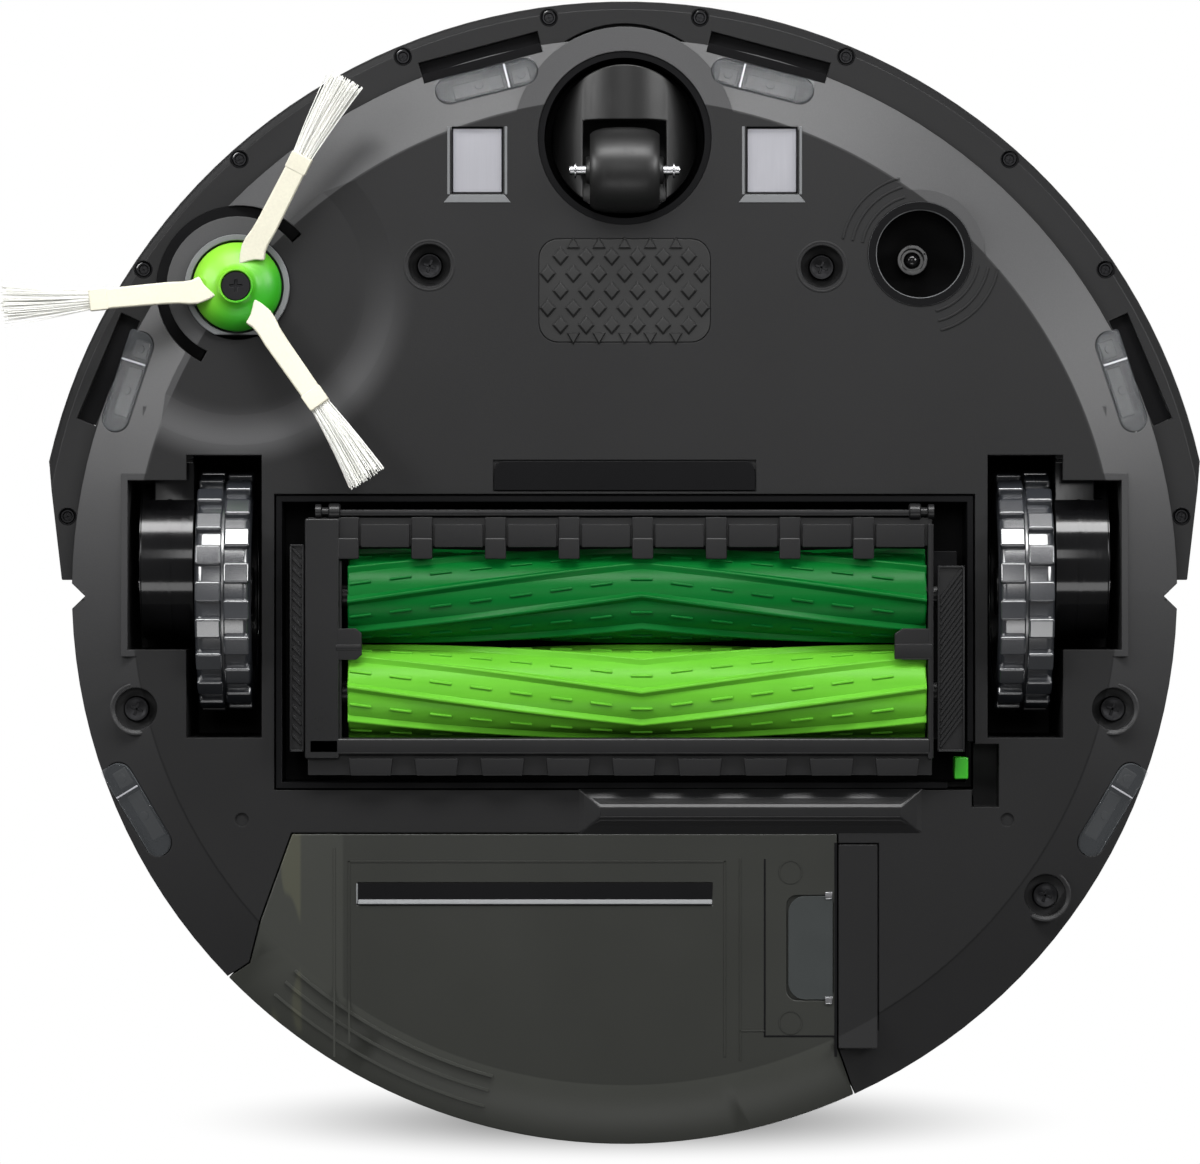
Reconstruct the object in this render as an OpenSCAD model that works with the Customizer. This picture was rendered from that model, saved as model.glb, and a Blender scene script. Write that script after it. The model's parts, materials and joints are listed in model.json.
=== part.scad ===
// Round robot vacuum: floor at z 0, front towards -Y, origin under the drive axle.

/* [Body] */
// Radius of the round body
chassis_r = 164.6; // [150:0.1:200]
// Height of the robot over the floor
body_h = 92; // [88:1:112]
// Height of the flat underside over the floor
belly_z = 13; // [12:0.5:15]
// Radius where the flat underside meets the sloping outer ring
belly_r = 145.9; // [144:0.1:180]
// Rise of the sloping outer ring
bevel_rise = 9; // [6:0.5:12]
// Thickness of the base plate
plate = 3; // [2.4:0.2:4]
// Thickness of the shell walls
wall = 2.4; // [2:0.1:3]

/* [Fits] */
// Gap between neighbouring fixed parts
gap = 0.4; // [0.3:0.05:0.8]
// Gap round a lens or pad set in a pocket
inset_gap = 0.15; // [0.1:0.05:0.3]
// Radial clearance of a turning shaft in its bore
run_gap = 0.06; // [0.02:0.01:0.1]

/* [Bumper] */
// How far the bumper stands out past the round body at the nose
bumper_over = 11.6; // [9:0.1:15]
// How far the bumper can be pushed in
bumper_travel = 3; // [2:0.5:4]
// How far the bumper stands out past the round body at its two ends
bumper_end_over = 3.2; // [2:0.1:6]

/* [Wheels] */
// Radius of a drive wheel over its lugs
wheel_r = 36; // [30:0.5:40]
// Width of a drive wheel
wheel_w = 16.6; // [12:0.2:17]
// Distance from the middle to a drive wheel
wheel_x = 118.8; // [117:0.2:120]
// Height of the rubber lugs
lug_h = 2; // [1:0.2:3]
// Lugs in each of the two rows
lugs = 20; // [12:1:28]
// Radius of the gearbox beside a wheel
drum_r = 23.4; // [20:0.2:24]
// Radius of the caster wheel
caster_r = 12.8; // [10.5:0.1:13]
// Distance of the caster axle behind its swivel
caster_trail = 9.6; // [7:0.2:10]
// Distance of the caster swivel in front of the drive axle
caster_y = 134.5; // [130:0.5:165]

/* [Cleaning head] */
// Radius of a roller over its ridges
roller_r = 14.1; // [11.5:0.1:14.2]
// Height of the roller axles over the floor
roller_z = 16.5; // [16:0.5:20]
// Gap between the ridges of the two rollers
roller_gap = 0.3; // [0.3:0.1:1.5]
// Teeth on the front bar of the roller guard
teeth = 8; // [5:1:9]

/* [Side brush] */
// Reach of the side brush bristles
brush_r = 70.3; // [58:0.5:72]
// Radius of the side brush hub
hub_r = 13.2; // [11:0.2:14]

/* [Dust bin] */
// Width of the bin to the right of the middle
bin_right = 63; // [55:0.5:66]
// Depth of the bin's front wall behind the drive axle
bin_y = 71.9; // [71.5:0.1:76]

/* [Hidden] */
$fn = 96;
bevel_z = belly_z + bevel_rise;
lip_z = bevel_z + 2;
split_z = belly_z + 33;
deck_z = body_h - 3;
floor_in = belly_z + plate;
plan_r = 164.6;
grow = chassis_r - plan_r;
far = 2 * chassis_r;
button_y = chassis_r - 18.6;
bumper_r = chassis_r + bumper_over;
bumper_end_x = chassis_r + bumper_end_over;
inner_r = chassis_r - wall;
nose_r = chassis_r - 9.5;
nose_in = nose_r - wall;
head_x = 103.9;
head_y0 = -28.9;
head_y1 = 58.9;
roof_z = roller_z + 23.5;
front_y = 1.3;
roller_pitch = 2 * roller_r + roller_gap;
rear_y = front_y + roller_pitch;
roller_x0 = -81.8;
roller_x1 = 89.1;
guard_low = roller_z - 12;
guard_top = guard_low + 4.6;
well_x0 = wheel_x - 11.2;
well_x1 = wheel_x + 11.2;
pod_x1 = 147.4;
well_y0 = -wheel_r - 4.5;
well_y1 = wheel_r + 7.4;
well_z = 2 * wheel_r + 4;
pivot_y = -44;
pivot_rise = 12;
pivot_z = floor_in + pivot_rise;
drum_y = -9;
drum_z = wheel_r + 2.6;
drum_x0 = wheel_x + wheel_w / 2 + 0.8;
drum_x1 = 144;
cup_r = 23.8;
cup_z = belly_z + 25;
bay_z = body_h - 14;
bin_top = bay_z - 0.6;
brush_x = -114.9;
brush_y = -90.3;
eye_x = 87.7;
eye_y = -100.1;
belly_screws = [[-57.9, -96.7], [58.5, -96.3], [-145, 34.9], [145, 34.9], [125, 90.3]];
skirt_z = lip_z + 0.4;
screw_ring = bumper_r - 3.6;
screw_angles = [7.5, 22.5, 41.7, 56.2];
dish_foot_r = 47;
dish_top_r = 38;
dish_depth = 1.2;
channel_r = 24.6;
notch_depth = 4.1;
notch_y = 1.4;
window_length = 31;
window_w = 8.3;
tooth_x = -84.8;
tooth_span = 152.2;
tooth_w = 6.3;
pocket_x = -82;
pocket_pitch = 19.45;
pocket_w = 5.9;
handle_y = 84;

module box(x0, x1, y0, y1, z0, z1) {
  translate([x0, y0, z0]) cube([x1 - x0, y1 - y0, z1 - z0]);
}
module rod_x(r, x0, x1, y, z) {
  translate([x0, y, z]) rotate([0, 90, 0]) cylinder(r = r, h = x1 - x0);
}
module rod_y(r, y0, y1, x, z) {
  translate([x, y1, z]) rotate([90, 0, 0]) cylinder(r = r, h = y1 - y0);
}
module post(r, x, y, z0, z1) {
  translate([x, y, z0]) cylinder(r = r, h = z1 - z0);
}
module both() {
  children();
  mirror([1, 0, 0]) children();
}
module ring(r_out, r_in, z0, z1) {
  translate([0, 0, z0]) difference() {
    cylinder(r = r_out, h = z1 - z0, $fn = 200);
    translate([0, 0, -1]) cylinder(r = r_in, h = z1 - z0 + 2, $fn = 200);
  }
}
module rounded(w, d, r, z0, z1) {
  box(-w / 2 + r, w / 2 - r, -d / 2, d / 2, z0, z1);
  box(-w / 2, w / 2, -d / 2 + r, d / 2 - r, z0, z1);
  for (x = [-1, 1], y = [-1, 1]) post(r, x * (w / 2 - r), y * (d / 2 - r), z0, z1);
}
module stadium(length, w, z0, z1) {
  box(-length / 2 + w / 2, length / 2 - w / 2, -w / 2, w / 2, z0, z1);
  for (s = [-1, 1]) post(w / 2, s * (length / 2 - w / 2), 0, z0, z1);
}
// The round body filled solid up to a height, shrunk inwards by a thickness.
module body_solid(t, top) {
  rotate_extrude($fn = 200)
    polygon([[0, belly_z + t], [belly_r + grow - t / 2, belly_z + t],
             [chassis_r - t, bevel_z + t * 0.9], [chassis_r - t, top], [0, top]]);
}
// A layer that follows the sloping ring, from one depth to another.
module bevel_layer(low, high) {
  rotate_extrude($fn = 200)
    polygon([[belly_r + grow, belly_z + low], [chassis_r, bevel_z + low],
             [chassis_r, bevel_z + high], [belly_r + grow, belly_z + high]]);
}
module bin_plan(extra) {
  far = chassis_r * 1.3;
  offset(delta = extra)
    polygon([[-98.6, bin_y], [-107.9, bin_y + 25.7], [-111.3, 110.4], [-118, 114.9],
             [-118 - far / 4, 114.9 + far / 6], [-118 - far / 4, far], [bin_right + 20, far],
             [bin_right + 5, 149], [bin_right, 135], [bin_right, bin_y]]);
}
module bin_space(extra, z0, z1) {
  translate([0, 0, z0]) linear_extrude(z1 - z0) bin_plan(extra);
}
// Width of the bumper in plan: tapers inwards towards its two ends.
module taper(inset, z0, z1) {
  wide = bumper_end_x + 4 - inset;
  translate([0, 0, z0]) linear_extrude(z1 - z0)
    polygon([[-bumper_end_x + inset, -3.4], [bumper_end_x - inset, -3.4], [wide, -38],
             [wide + 8, -bumper_r * 0.62], [wide, -bumper_r - 9], [-wide, -bumper_r - 9],
             [-wide - 8, -bumper_r * 0.62], [-wide, -38]]);
}
// Places a window along the sloping ring: x, y and the turn that follows the ring.
module at_window(x, y, turn) {
  move = 1 + grow / norm([x, y]);
  translate([x * move, y * move, 0]) rotate([0, 0, turn]) children();
}
module windows_front() {
  both() at_window(41, -151.7, 14) children();
}
module windows_side() {
  both() at_window(147.8, -62.4, 72) children();
}
module windows_rear() {
  both() at_window(144.6, 64.8, -59) children();
}
module window_pocket() {
  stadium(window_length + 2 * inset_gap, window_w + 2 * inset_gap, belly_z - 4, lip_z + 1);
}
module lens_shape() {
  stadium(window_length, window_w, belly_z - 4, lip_z);
}
module wheel_well(extra) {
  box(well_x0 - extra, well_x1 + extra, well_y0 - extra, well_y1 + extra, belly_z, well_z + extra);
  box(well_x1 - 3, pod_x1 + min(extra, 2), -33 - extra, 17.3 + extra, belly_z, well_z + extra);
}
module pivot_pocket(extra) {
  box(127.4 - extra, 141 + extra, pivot_y - 9 - extra, -30, floor_in, pivot_z + 20 + extra);
}
module side_notch() {
  translate([0, 0, belly_z]) linear_extrude(body_h)
    polygon([[chassis_r - notch_depth, notch_y], [chassis_r + 4, notch_y - 7.5], [chassis_r + 4, notch_y + 7.5]]);
}
module front_sight() {
  both() at_window(46, -160.4, 15) box(-21, 15.6, -1.2, 5.4, 0, lip_z + 8);
}
module side_sight() {
  both() at_window(154.6, -66.5, 67) box(-17, 17, -2.2, 3.8, 0, lip_z + 8);
}

module base_shell() color([0.17, 0.17, 0.18]) {
  difference() {
    union() {
      difference() {
        body_solid(0, split_z);
        translate([0, 0, 0.01]) body_solid(plate, split_z + 1);
        difference() {
          box(-far, far, -chassis_r - 9, 2.4, lip_z, split_z + 1);
          cylinder(r = nose_r, h = body_h, $fn = 200);
        }
      }
      difference() {
        ring(nose_r, nose_in, belly_z + 5, split_z);
        box(-far, far, 2.4, far, 0, body_h);
      }
      both() box(nose_in, inner_r + 1, 0, 2.4, bevel_z - 2, split_z);
      ring(belly_r + grow + 8, belly_r + grow - 2, belly_z + 6, lip_z - 0.5);
      post(33, 0, -caster_y, belly_z, lip_z);
      post(cup_r + 4.4, 0, -caster_y, belly_z, split_z);
      post(21, brush_x, brush_y, belly_z, lip_z);
      post(hub_r + 6, eye_x, eye_y, belly_z, floor_in + 3);
      both() intersection() {
        union() {
          wheel_well(2);
          pivot_pocket(2);
        }
        union() {
          cylinder(r = nose_in - gap, h = body_h, $fn = 200);
          cylinder(r = nose_r - 1, h = split_z, $fn = 200);
        }
      }
      box(-head_x - 1.8, head_x + 1.8, head_y0 - 2, head_y1 + 2, belly_z, roof_z + 3);
      box(head_x, 113, 43.4, 66, belly_z, roof_z - 14);
      box(-66, 26, head_y1, bin_y - gap, belly_z, roof_z + 4);
      intersection() {
        for (p = belly_screws) post(8.4, p[0], p[1], belly_z, lip_z + 1);
        body_solid(0, split_z);
      }
      intersection() {
        translate([37.3, 65.3, 0]) rotate([0, 90, 0]) linear_extrude(101.6, center = true)
          polygon([[-belly_z - 1, -6], [-belly_z, -6], [-belly_z + 2.4, -2.6],
                   [-belly_z + 2.4, 2.6], [-belly_z, 6], [-belly_z - 1, 6]]);
        translate([37.3, 78, 0]) rotate([90, 0, 0]) linear_extrude(26)
          polygon([[-50.8, belly_z + 1], [-50.8, belly_z], [-44.5, belly_z - 2.4],
                   [44.5, belly_z - 2.4], [50.8, belly_z], [50.8, belly_z + 1]]);
      }
    }
    bin_space(gap, 0, split_z + 1);
    both() wheel_well(0);
    both() pivot_pocket(0);
    box(-head_x, head_x, head_y0, head_y1, 0, roof_z + gap);
    box(head_x - 1, 111, 45.2, 63.9, 0, roof_z - 16);
    box(-62, 22, head_y1 - 1, bin_y + 1, roof_z - 14, roof_z + 2);
    post(cup_r + 2, 0, -caster_y, 0, split_z + 1);
    difference() {
      post(channel_r, brush_x, brush_y, 0, body_h);
      post(21, brush_x, brush_y, 0, body_h);
      cylinder(r = belly_r + grow - 3, h = body_h, $fn = 200);
      post(24.7, brush_x, brush_y, lip_z - 1.4, body_h);
    }
    translate([brush_x, brush_y, belly_z - 0.01])
      cylinder(r1 = dish_foot_r, r2 = dish_top_r, h = dish_depth, $fn = 160);
    post(hub_r + 2.5, brush_x, brush_y, 0, body_h);
    post(hub_r + 2.3, eye_x, eye_y, 0, body_h);
    windows_front() window_pocket();
    windows_side() window_pocket();
    windows_rear() window_pocket();
    intersection() {
      union() {
        front_sight();
        side_sight();
      }
      cylinder(r = bumper_r, h = lip_z - 1.4);
    }
    both() box(43.7 - 7.6, 43.7 + 7.6, -127.9 - 9.9, -127.9 + 9.9, 0, floor_in + 0.01);
    both() box(43.7 - 9.6, 43.7 + 9.6, -127.9 - 12.4, -127.9 + 12.4, floor_in, floor_in + 9);
    translate([0, -89.2, 0]) rounded(51, 30.8, 5.8, 0, belly_z + 1);
    box(-39, 39, -39, -29.6, belly_z - 1, belly_z + 0.6);
    box(bin_right, bin_right + 12.4, 74.6, 135.9, 0, floor_in - 0.6);
    for (p = belly_screws) {
      post(6.4, p[0], p[1], 0, floor_in + 3);
      post(1.7, p[0], p[1], 0, lip_z + 2);
    }
    both() translate([113.5, 67.7, 0]) cylinder(r = 2, h = belly_z + 0.6);
    both() at_window(103.3, -132.5, 0) post(2.5, 0, 0, 0, bevel_z - 3);
    both() side_notch();
  }
  both() rod_x(3, 124, 145, pivot_y, pivot_z);
}
module top_cover() color([0.19, 0.19, 0.2]) difference() {
  union() {
    difference() {
      rotate_extrude($fn = 200)
        polygon([[0, split_z], [chassis_r, split_z], [chassis_r, deck_z - 5],
                 [chassis_r - 1.6, deck_z - 1.6], [chassis_r - 5, deck_z], [0, deck_z]]);
      difference() {
        translate([0, 0, split_z - 1])
          cylinder(r = inner_r, h = deck_z - wall - split_z + 1, $fn = 200);
        box(-52, 52, handle_y - 24, handle_y + 24, bay_z, body_h);
        post(30, 0, -20, deck_z - 8, body_h);
        both() post(13, 40, -20, deck_z - 8, body_h);
      }
      difference() {
        box(-far, far, -chassis_r - 9, 2.4, 0, deck_z - 5);
        cylinder(r = nose_r, h = body_h, $fn = 200);
      }
    }
    difference() {
      ring(nose_r, nose_in, split_z, deck_z - 1);
      box(-far, far, 2.4, far, 0, body_h);
    }
    both() box(nose_in, inner_r + 1, 0, 2.4, split_z, deck_z - 1);
  }
  bin_space(gap, 0, bay_z);
  translate([0, handle_y, 0]) rounded(98, 40, 5, bay_z + 2, body_h);
  post(24.5, 0, -20, 0, body_h);
  both() post(8.5, 40, -20, 0, body_h);
  post(13.2, 0, -nose_r + 16, deck_z - 1.4, body_h);
  both() rod_x(1.5 + run_gap, 44, 51.5, handle_y - 13, deck_z - 4);
  for (a = [28:8:60]) rotate([0, 0, a]) box(inner_r - 3, chassis_r + 3, -3, 3, 56, deck_z - 12);
  both() side_notch();
}
module top_plate() color([0.1, 0.1, 0.11]) difference() {
  translate([0, 0, deck_z]) cylinder(r = 116, h = 1.4, $fn = 200);
  translate([0, handle_y, 0]) rounded(98.4, 40.4, 5.2, deck_z - 1, body_h);
  post(20.5, 0, -20, deck_z - 1, body_h);
  both() post(8.5, 40, -20, deck_z - 1, body_h);
}
module trim_ring() color([0.5, 0.5, 0.52]) rotate_extrude($fn = 200)
  polygon([[116 + inset_gap, deck_z], [124, deck_z], [123, deck_z + 1.4],
           [117.4, deck_z + 2], [116 + inset_gap, deck_z + 1.4]]);
module homing_window() color([0.05, 0.05, 0.06, 0.8]) translate([0, -nose_r + 16, 0]) {
  post(13, 0, 0, deck_z - 1.4, deck_z + 1);
  translate([0, 0, deck_z + 1]) cylinder(r1 = 13, r2 = 9, h = 2);
}
module main_button() color([0.75, 0.76, 0.78]) {
  post(20, 0, -20, deck_z - 6, deck_z + 1.6);
  translate([0, -20, deck_z + 1.6]) cylinder(r1 = 20, r2 = 18.8, h = 0.8);
  post(23.5, 0, -20, deck_z - 8, deck_z - 6);
}
module small_button() {
  post(8, 0, -20, deck_z - 8, deck_z + 1.4);
  translate([0, -20, deck_z + 1.4]) cylinder(r1 = 8, r2 = 7, h = 0.7);
}
module left_button() color([0.3, 0.3, 0.32]) translate([40, 0, 0]) small_button();
module right_button() color([0.3, 0.3, 0.32]) translate([-40, 0, 0]) small_button();
module carry_handle() color([0.13, 0.13, 0.14]) difference() {
  union() {
    rod_x(4, -48.4, 48.4, handle_y - 13, deck_z - 4);
    both() box(38, 48.4, handle_y - 13, handle_y + 10, deck_z - 7, deck_z);
    box(-48.4, 48.4, handle_y + 4, handle_y + 12, deck_z - 7, deck_z + 1);
    rod_x(4, -48.4, 48.4, handle_y + 12, deck_z - 3);
  }
  box(-38, 38, handle_y - 19, handle_y + 4, deck_z - 20, deck_z + 9);
  both() rod_x(1.5 + run_gap, 43, 49, handle_y - 13, deck_z - 4);
}
module handle_pins() color([0.6, 0.6, 0.62]) both()
  rod_x(1.5, 43.5, 51.4, handle_y - 13, deck_z - 4);

module circuit_board() color([0.05, 0.3, 0.12]) {
  difference() {
    box(-92, 92, -96, 40, 66, 67.6);
    box(-30, 30, -30, 10, 60, 70);
  }
  for (x = [-70:28:70]) box(x - 8, x + 8, -84, -66, 67.6, 70.6);
  for (x = [-60, 60]) post(5, x, 20, 67.6, 74);
}
module battery_pack() color([0.12, 0.2, 0.36]) {
  box(-57, 57, -104, -46, 27, 62);
  for (x = [-36, -12, 12, 36]) rod_y(6, -46, -43.5, x, 44);
}
module suction_fan() color([0.3, 0.31, 0.33]) {
  rod_y(19, 82, 110, 86, 45);
  rod_y(15, 110, 118, 86, 45);
  box(bin_right + 2, 72, 90, 108, 34, 56);
}
module head_motor() color([0.55, 0.56, 0.58]) {
  rod_x(10.8, 44, 84, 12, roof_z + 14.4);
  rod_x(8, 36, 44, 12, roof_z + 14.4);
  box(84, 96, -2, 26, roof_z + 3.4, roof_z + 25);
}
module brush_motor() color([0.32, 0.33, 0.35]) translate([brush_x + 11, brush_y + 8, 0]) {
  rotate([0, 0, 38.2]) box(-17, 17, -17, 17, 30, 46);
  post(10, 0, 0, 46, 60);
}
module charge_contacts() color([0.82, 0.82, 0.86]) both() translate([43.7, -127.9, 0]) {
  box(-7.45, 7.45, -9.65, 9.65, belly_z + 1.2, floor_in);
  box(-9.4, 9.4, -12, 12, floor_in, floor_in + 1);
}
module caster_socket() color([0.05, 0.05, 0.055]) translate([0, -caster_y, 0]) difference() {
  union() {
    post(cup_r + 1.9, 0, 0, belly_z + 0.4, cup_z + wall);
    post(8, 0, 0, cup_z, cup_z + 14);
  }
  post(cup_r, 0, 0, 0, cup_z);
  post(5 + run_gap, 0, 0, 0, cup_z + 20);
}
module caster_fork() color([0.07, 0.07, 0.075]) translate([0, -caster_y, 0]) difference() {
  union() {
    intersection() {
      post(21.8, 0, 0, belly_z - 1, cup_z - 2);
      rod_y(24, -23, 23, 0, cup_z - 2);
    }
    post(5, 0, 0, cup_z - 2, cup_z + 12);
    post(9, 0, 0, cup_z - 2, cup_z - 0.3);
  }
  intersection() {
    box(-12.3, 12.3, caster_trail - caster_r - 2.4, 30, 0, caster_r + 15);
    rod_x(caster_r + 2.2, -13, 13, caster_trail, caster_r);
  }
  box(-12.3, 12.3, caster_trail, 30, 0, caster_r + 8);
  both() box(14, 18.6, caster_trail - 5, caster_trail + 4, 0, caster_r - 1.6);
}
module caster_axle() color([0.8, 0.8, 0.82]) {
  rod_x(1.5, -16.4, 16.4, -caster_y + caster_trail, caster_r);
}
module caster_wheel() color([0.09, 0.09, 0.095])
  translate([0, -caster_y + caster_trail, caster_r]) rotate([0, 90, 0]) difference() {
    union() {
      cylinder(r = caster_r, h = 9, center = true);
      for (s = [0, 1]) mirror([0, 0, s]) {
        translate([0, 0, 4.5]) cylinder(r1 = caster_r, r2 = caster_r - 0.9, h = 4);
        translate([0, 0, 8.5]) cylinder(r1 = caster_r - 0.9, r2 = caster_r - 2.4, h = 1.8);
        translate([0, 0, 10.3]) cylinder(r = 4, h = 1.2);
      }
    }
    cylinder(r = 1.5 + run_gap, h = 40, center = true);
  }
module grip_pad() color([0.1, 0.1, 0.1]) translate([0, -89.2, 0]) {
  rounded(50.7, 30.5, 5.7, belly_z - 0.2, belly_z + 1);
  for (row = [-2:2]) for (k = [0:(row % 2 == 0 ? 5 : 6)])
    translate([(k - (row % 2 == 0 ? 2.5 : 3)) * 7.3, row * 5.6, belly_z - 1])
      scale([1, 1.1, 1]) cylinder(r1 = 1.6, r2 = 2.6, h = 0.8, $fn = 4);
}
module sensor_cup() color([0.03, 0.03, 0.03]) translate([eye_x, eye_y, 0]) difference() {
  post(hub_r + 2.2, 0, 0, belly_z - 0.4, floor_in + 16);
  post(hub_r, 0, 0, 0, floor_in + 14);
}
module sensor_lens() color([0.12, 0.12, 0.14]) translate([eye_x - 2, eye_y + 1.5, 0]) {
  difference() {
    post(4.6, 0, 0, floor_in + 5, floor_in + 14);
    post(3.3, 0, 0, 0, floor_in + 8);
  }
  intersection() {
    translate([0, 0, floor_in + 8.6]) sphere(r = 2.6);
    post(3, 0, 0, floor_in, floor_in + 8.4);
  }
}
module cliff_lenses(kind) intersection() {
  bevel_layer(-0.6, 3);
  if (kind == 0) windows_front() lens_shape();
  else if (kind == 1) windows_side() lens_shape();
  else windows_rear() lens_shape();
}
module front_cliff_lenses() color([0.75, 0.78, 0.8, 0.6]) cliff_lenses(0);
module side_cliff_lenses() color([0.75, 0.78, 0.8, 0.6]) cliff_lenses(1);
module rear_cliff_lenses() color([0.75, 0.78, 0.8, 0.6]) cliff_lenses(2);
module base_screws() color([0.1, 0.1, 0.1]) for (p = belly_screws) difference() {
  union() {
    post(3.8, p[0], p[1], floor_in + 1, floor_in + 3);
    post(1.6, p[0], p[1], floor_in + 3, lip_z + 1);
  }
  for (a = [0, 90]) translate([p[0], p[1], 0]) rotate([0, 0, a]) box(-2, 2, -0.4, 0.4, 0, floor_in + 1.8);
}
module label_plate() color([0.04, 0.04, 0.04]) {
  box(-38.7, 38.7, -36, -29.9, belly_z - 0.4, belly_z + 0.6);
  box(-35.7, 35.7, -38.7, -36, belly_z - 0.4, belly_z + 0.6);
  both() post(3, 35.7, -35.7, belly_z - 0.4, belly_z + 0.6);
}
module side_panel() color([0.14, 0.14, 0.15])
  box(bin_right + 0.4, bin_right + 12, 75, 135.5, belly_z - 0.5, floor_in - 0.6);
module brush_collar() color([0.45, 0.46, 0.47]) translate([brush_x, brush_y, 0]) difference() {
  union() {
    intersection() {
      post(hub_r + 2.4, 0, 0, belly_z - 0.6, lip_z);
      box(-20, 20, -20, hub_r + 1, belly_z - 4, lip_z + 9);
    }
    post(8, 0, 0, lip_z, lip_z + 5);
  }
  post(hub_r + 0.6, 0, 0, 0, lip_z - 2);
  post(4 + run_gap, 0, 0, 0, lip_z + 9);
}
module brush_hub() color([0.35, 0.85, 0.05]) translate([brush_x, brush_y, 0]) difference() {
  union() {
    intersection() {
      translate([0, 0, 21.6]) sphere(r = 16);
      post(hub_r, 0, 0, 5.6, belly_z);
    }
    post(hub_r - 1, 0, 0, belly_z - 0.4, lip_z - 2.6);
    post(4, 0, 0, lip_z - 3, lip_z + 4.6);
    post(5.2, 0, 0, 5, 8);
  }
  post(4.4, 0, 0, 0, 7.4);
  post(1.6, 0, 0, 0, 17);
}
module brush_screw() color([0.1, 0.1, 0.11]) translate([brush_x, brush_y, 0]) difference() {
  union() {
    post(4.2, 0, 0, 5.6, 7.4);
    post(1.5, 0, 0, 7.4, 16.6);
  }
  for (a = [0, 90]) rotate([0, 0, a]) box(-1.8, 1.8, -0.4, 0.4, 0, 6.6);
}
module at_arms() {
  for (a = [-62.7, 54.7, 174.2]) translate([brush_x, brush_y, 9.6]) rotate([0, 0, a])
    rotate([0, 7.4, 0]) children();
}
module brush_arms() color([0.93, 0.92, 0.83]) at_arms() {
  box(8.6, 41.5, -3.2, 3.2, -1.4, 1.4);
  rod_x(3.4, 38, 41.5, 0, 0);
}
module brush_bristles() color([0.96, 0.96, 0.94]) at_arms() for (k = [-4:4])
  rotate([0, 0, k * 1.1]) rod_x(0.45, 39, brush_r - abs(k) * 0.6, k * 0.45, 0.2 * (k % 2));

module head_frame() color([0.06, 0.06, 0.06]) difference() {
  box(-head_x + gap, head_x - gap, head_y0 + gap, head_y1 - gap, belly_z + 0.6, roof_z);
  difference() {
    box(-head_x + 2.4, head_x - 2.4, head_y0 + 2.4, head_y1 - 2.4, 0, roof_z - 2.4);
    box(-99, -84, -12, 44, 11, roof_z);
    box(91.4, 98.6, -12, 44, 11, roof_z);
  }
  for (y = [front_y, rear_y]) rod_x(4 + run_gap, -94, 96, y, roller_z);
  box(-60, 20, head_y1 - 4, head_y1, roof_z - 12, roof_z - 2);
  box(head_x - 8, head_x, 44.6, head_y1, 0, roof_z - 16);
}
module sleeve(y) difference() {
  union() {
    rod_x(roller_r - 1.5, roller_x0, roller_x1, y, roller_z);
    intersection() {
      rod_x(roller_r, roller_x0, roller_x1, y, roller_z);
      for (k = [0:7]) translate([0, y, roller_z]) rotate([k * 45, 0, 0])
        box(roller_x0 - 1, roller_x1 + 1, -0.8, 0.8, roller_r - 3, roller_r + 1);
    }
  }
  rod_x(roller_r - 4, roller_x0 - 1, roller_x1 + 1, y, roller_z);
}
module core(y) {
  rod_x(roller_r - 4.05, roller_x0, roller_x1, y, roller_z);
  rod_x(4, roller_x0 - 10, roller_x1 + 6, y, roller_z);
}
module front_roller() color([0.02, 0.33, 0.12]) sleeve(front_y);
module rear_roller() color([0.4, 0.85, 0.12]) sleeve(rear_y);
module front_roller_core() color([0.2, 0.2, 0.2]) core(front_y);
module rear_roller_core() color([0.2, 0.2, 0.2]) core(rear_y);
module roller_guard() color([0.09, 0.09, 0.095]) {
  box(-93.7, 90.9, -19.7, -13.4, guard_low, guard_top);
  box(-93.7, 90.9, 43.2, 48.3, guard_low, guard_top);
  box(-98.9, -84, -20, 47.3, guard_low, guard_low + 4);
  box(roller_x1 + gap, 91.2, -20, 49.5, guard_low, guard_top);
  for (k = [0:teeth - 1]) translate([tooth_x + k * tooth_span / (teeth - 1), 0, 0]) {
    box(0, tooth_w, -22, -9.3, guard_low, guard_low + 1.8);
    box(0, tooth_w, -22, -15, guard_low, guard_top + 0.8);
  }
  for (k = [0:8]) translate([pocket_x + k * pocket_pitch, 0, 0])
    box(0, pocket_pitch - pocket_w, 48, 54.4, guard_low + 1.2, guard_top);
  box(-85, -77.7, 10.9, 20.2, guard_low, guard_low + 1.6);
  box(79.6, 90.9, 10.9, 20.2, guard_low, guard_low + 1.6);
  both() rod_x(2.4, 60, 84.9, -23.6, guard_top - 1.6);
  both() box(60, 84.9, -23.6, -18, guard_low, guard_top);
}
module release_lever() color([0.12, 0.12, 0.125]) difference() {
  box(92.4, 100.4, -7.6, 47.3, guard_low, guard_top + 0.4);
  for (k = [0:9]) translate([96, -2 + k * 3, 0]) rotate([0, 0, 30]) box(-3, 3, -0.5, 0.5, 0, guard_low + 0.8);
}
module head_catch() color([0.3, 0.8, 0.1]) {
  box(97.7, 101.8, 49.1, 55.6, belly_z - 2, belly_z + 8);
}

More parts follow.
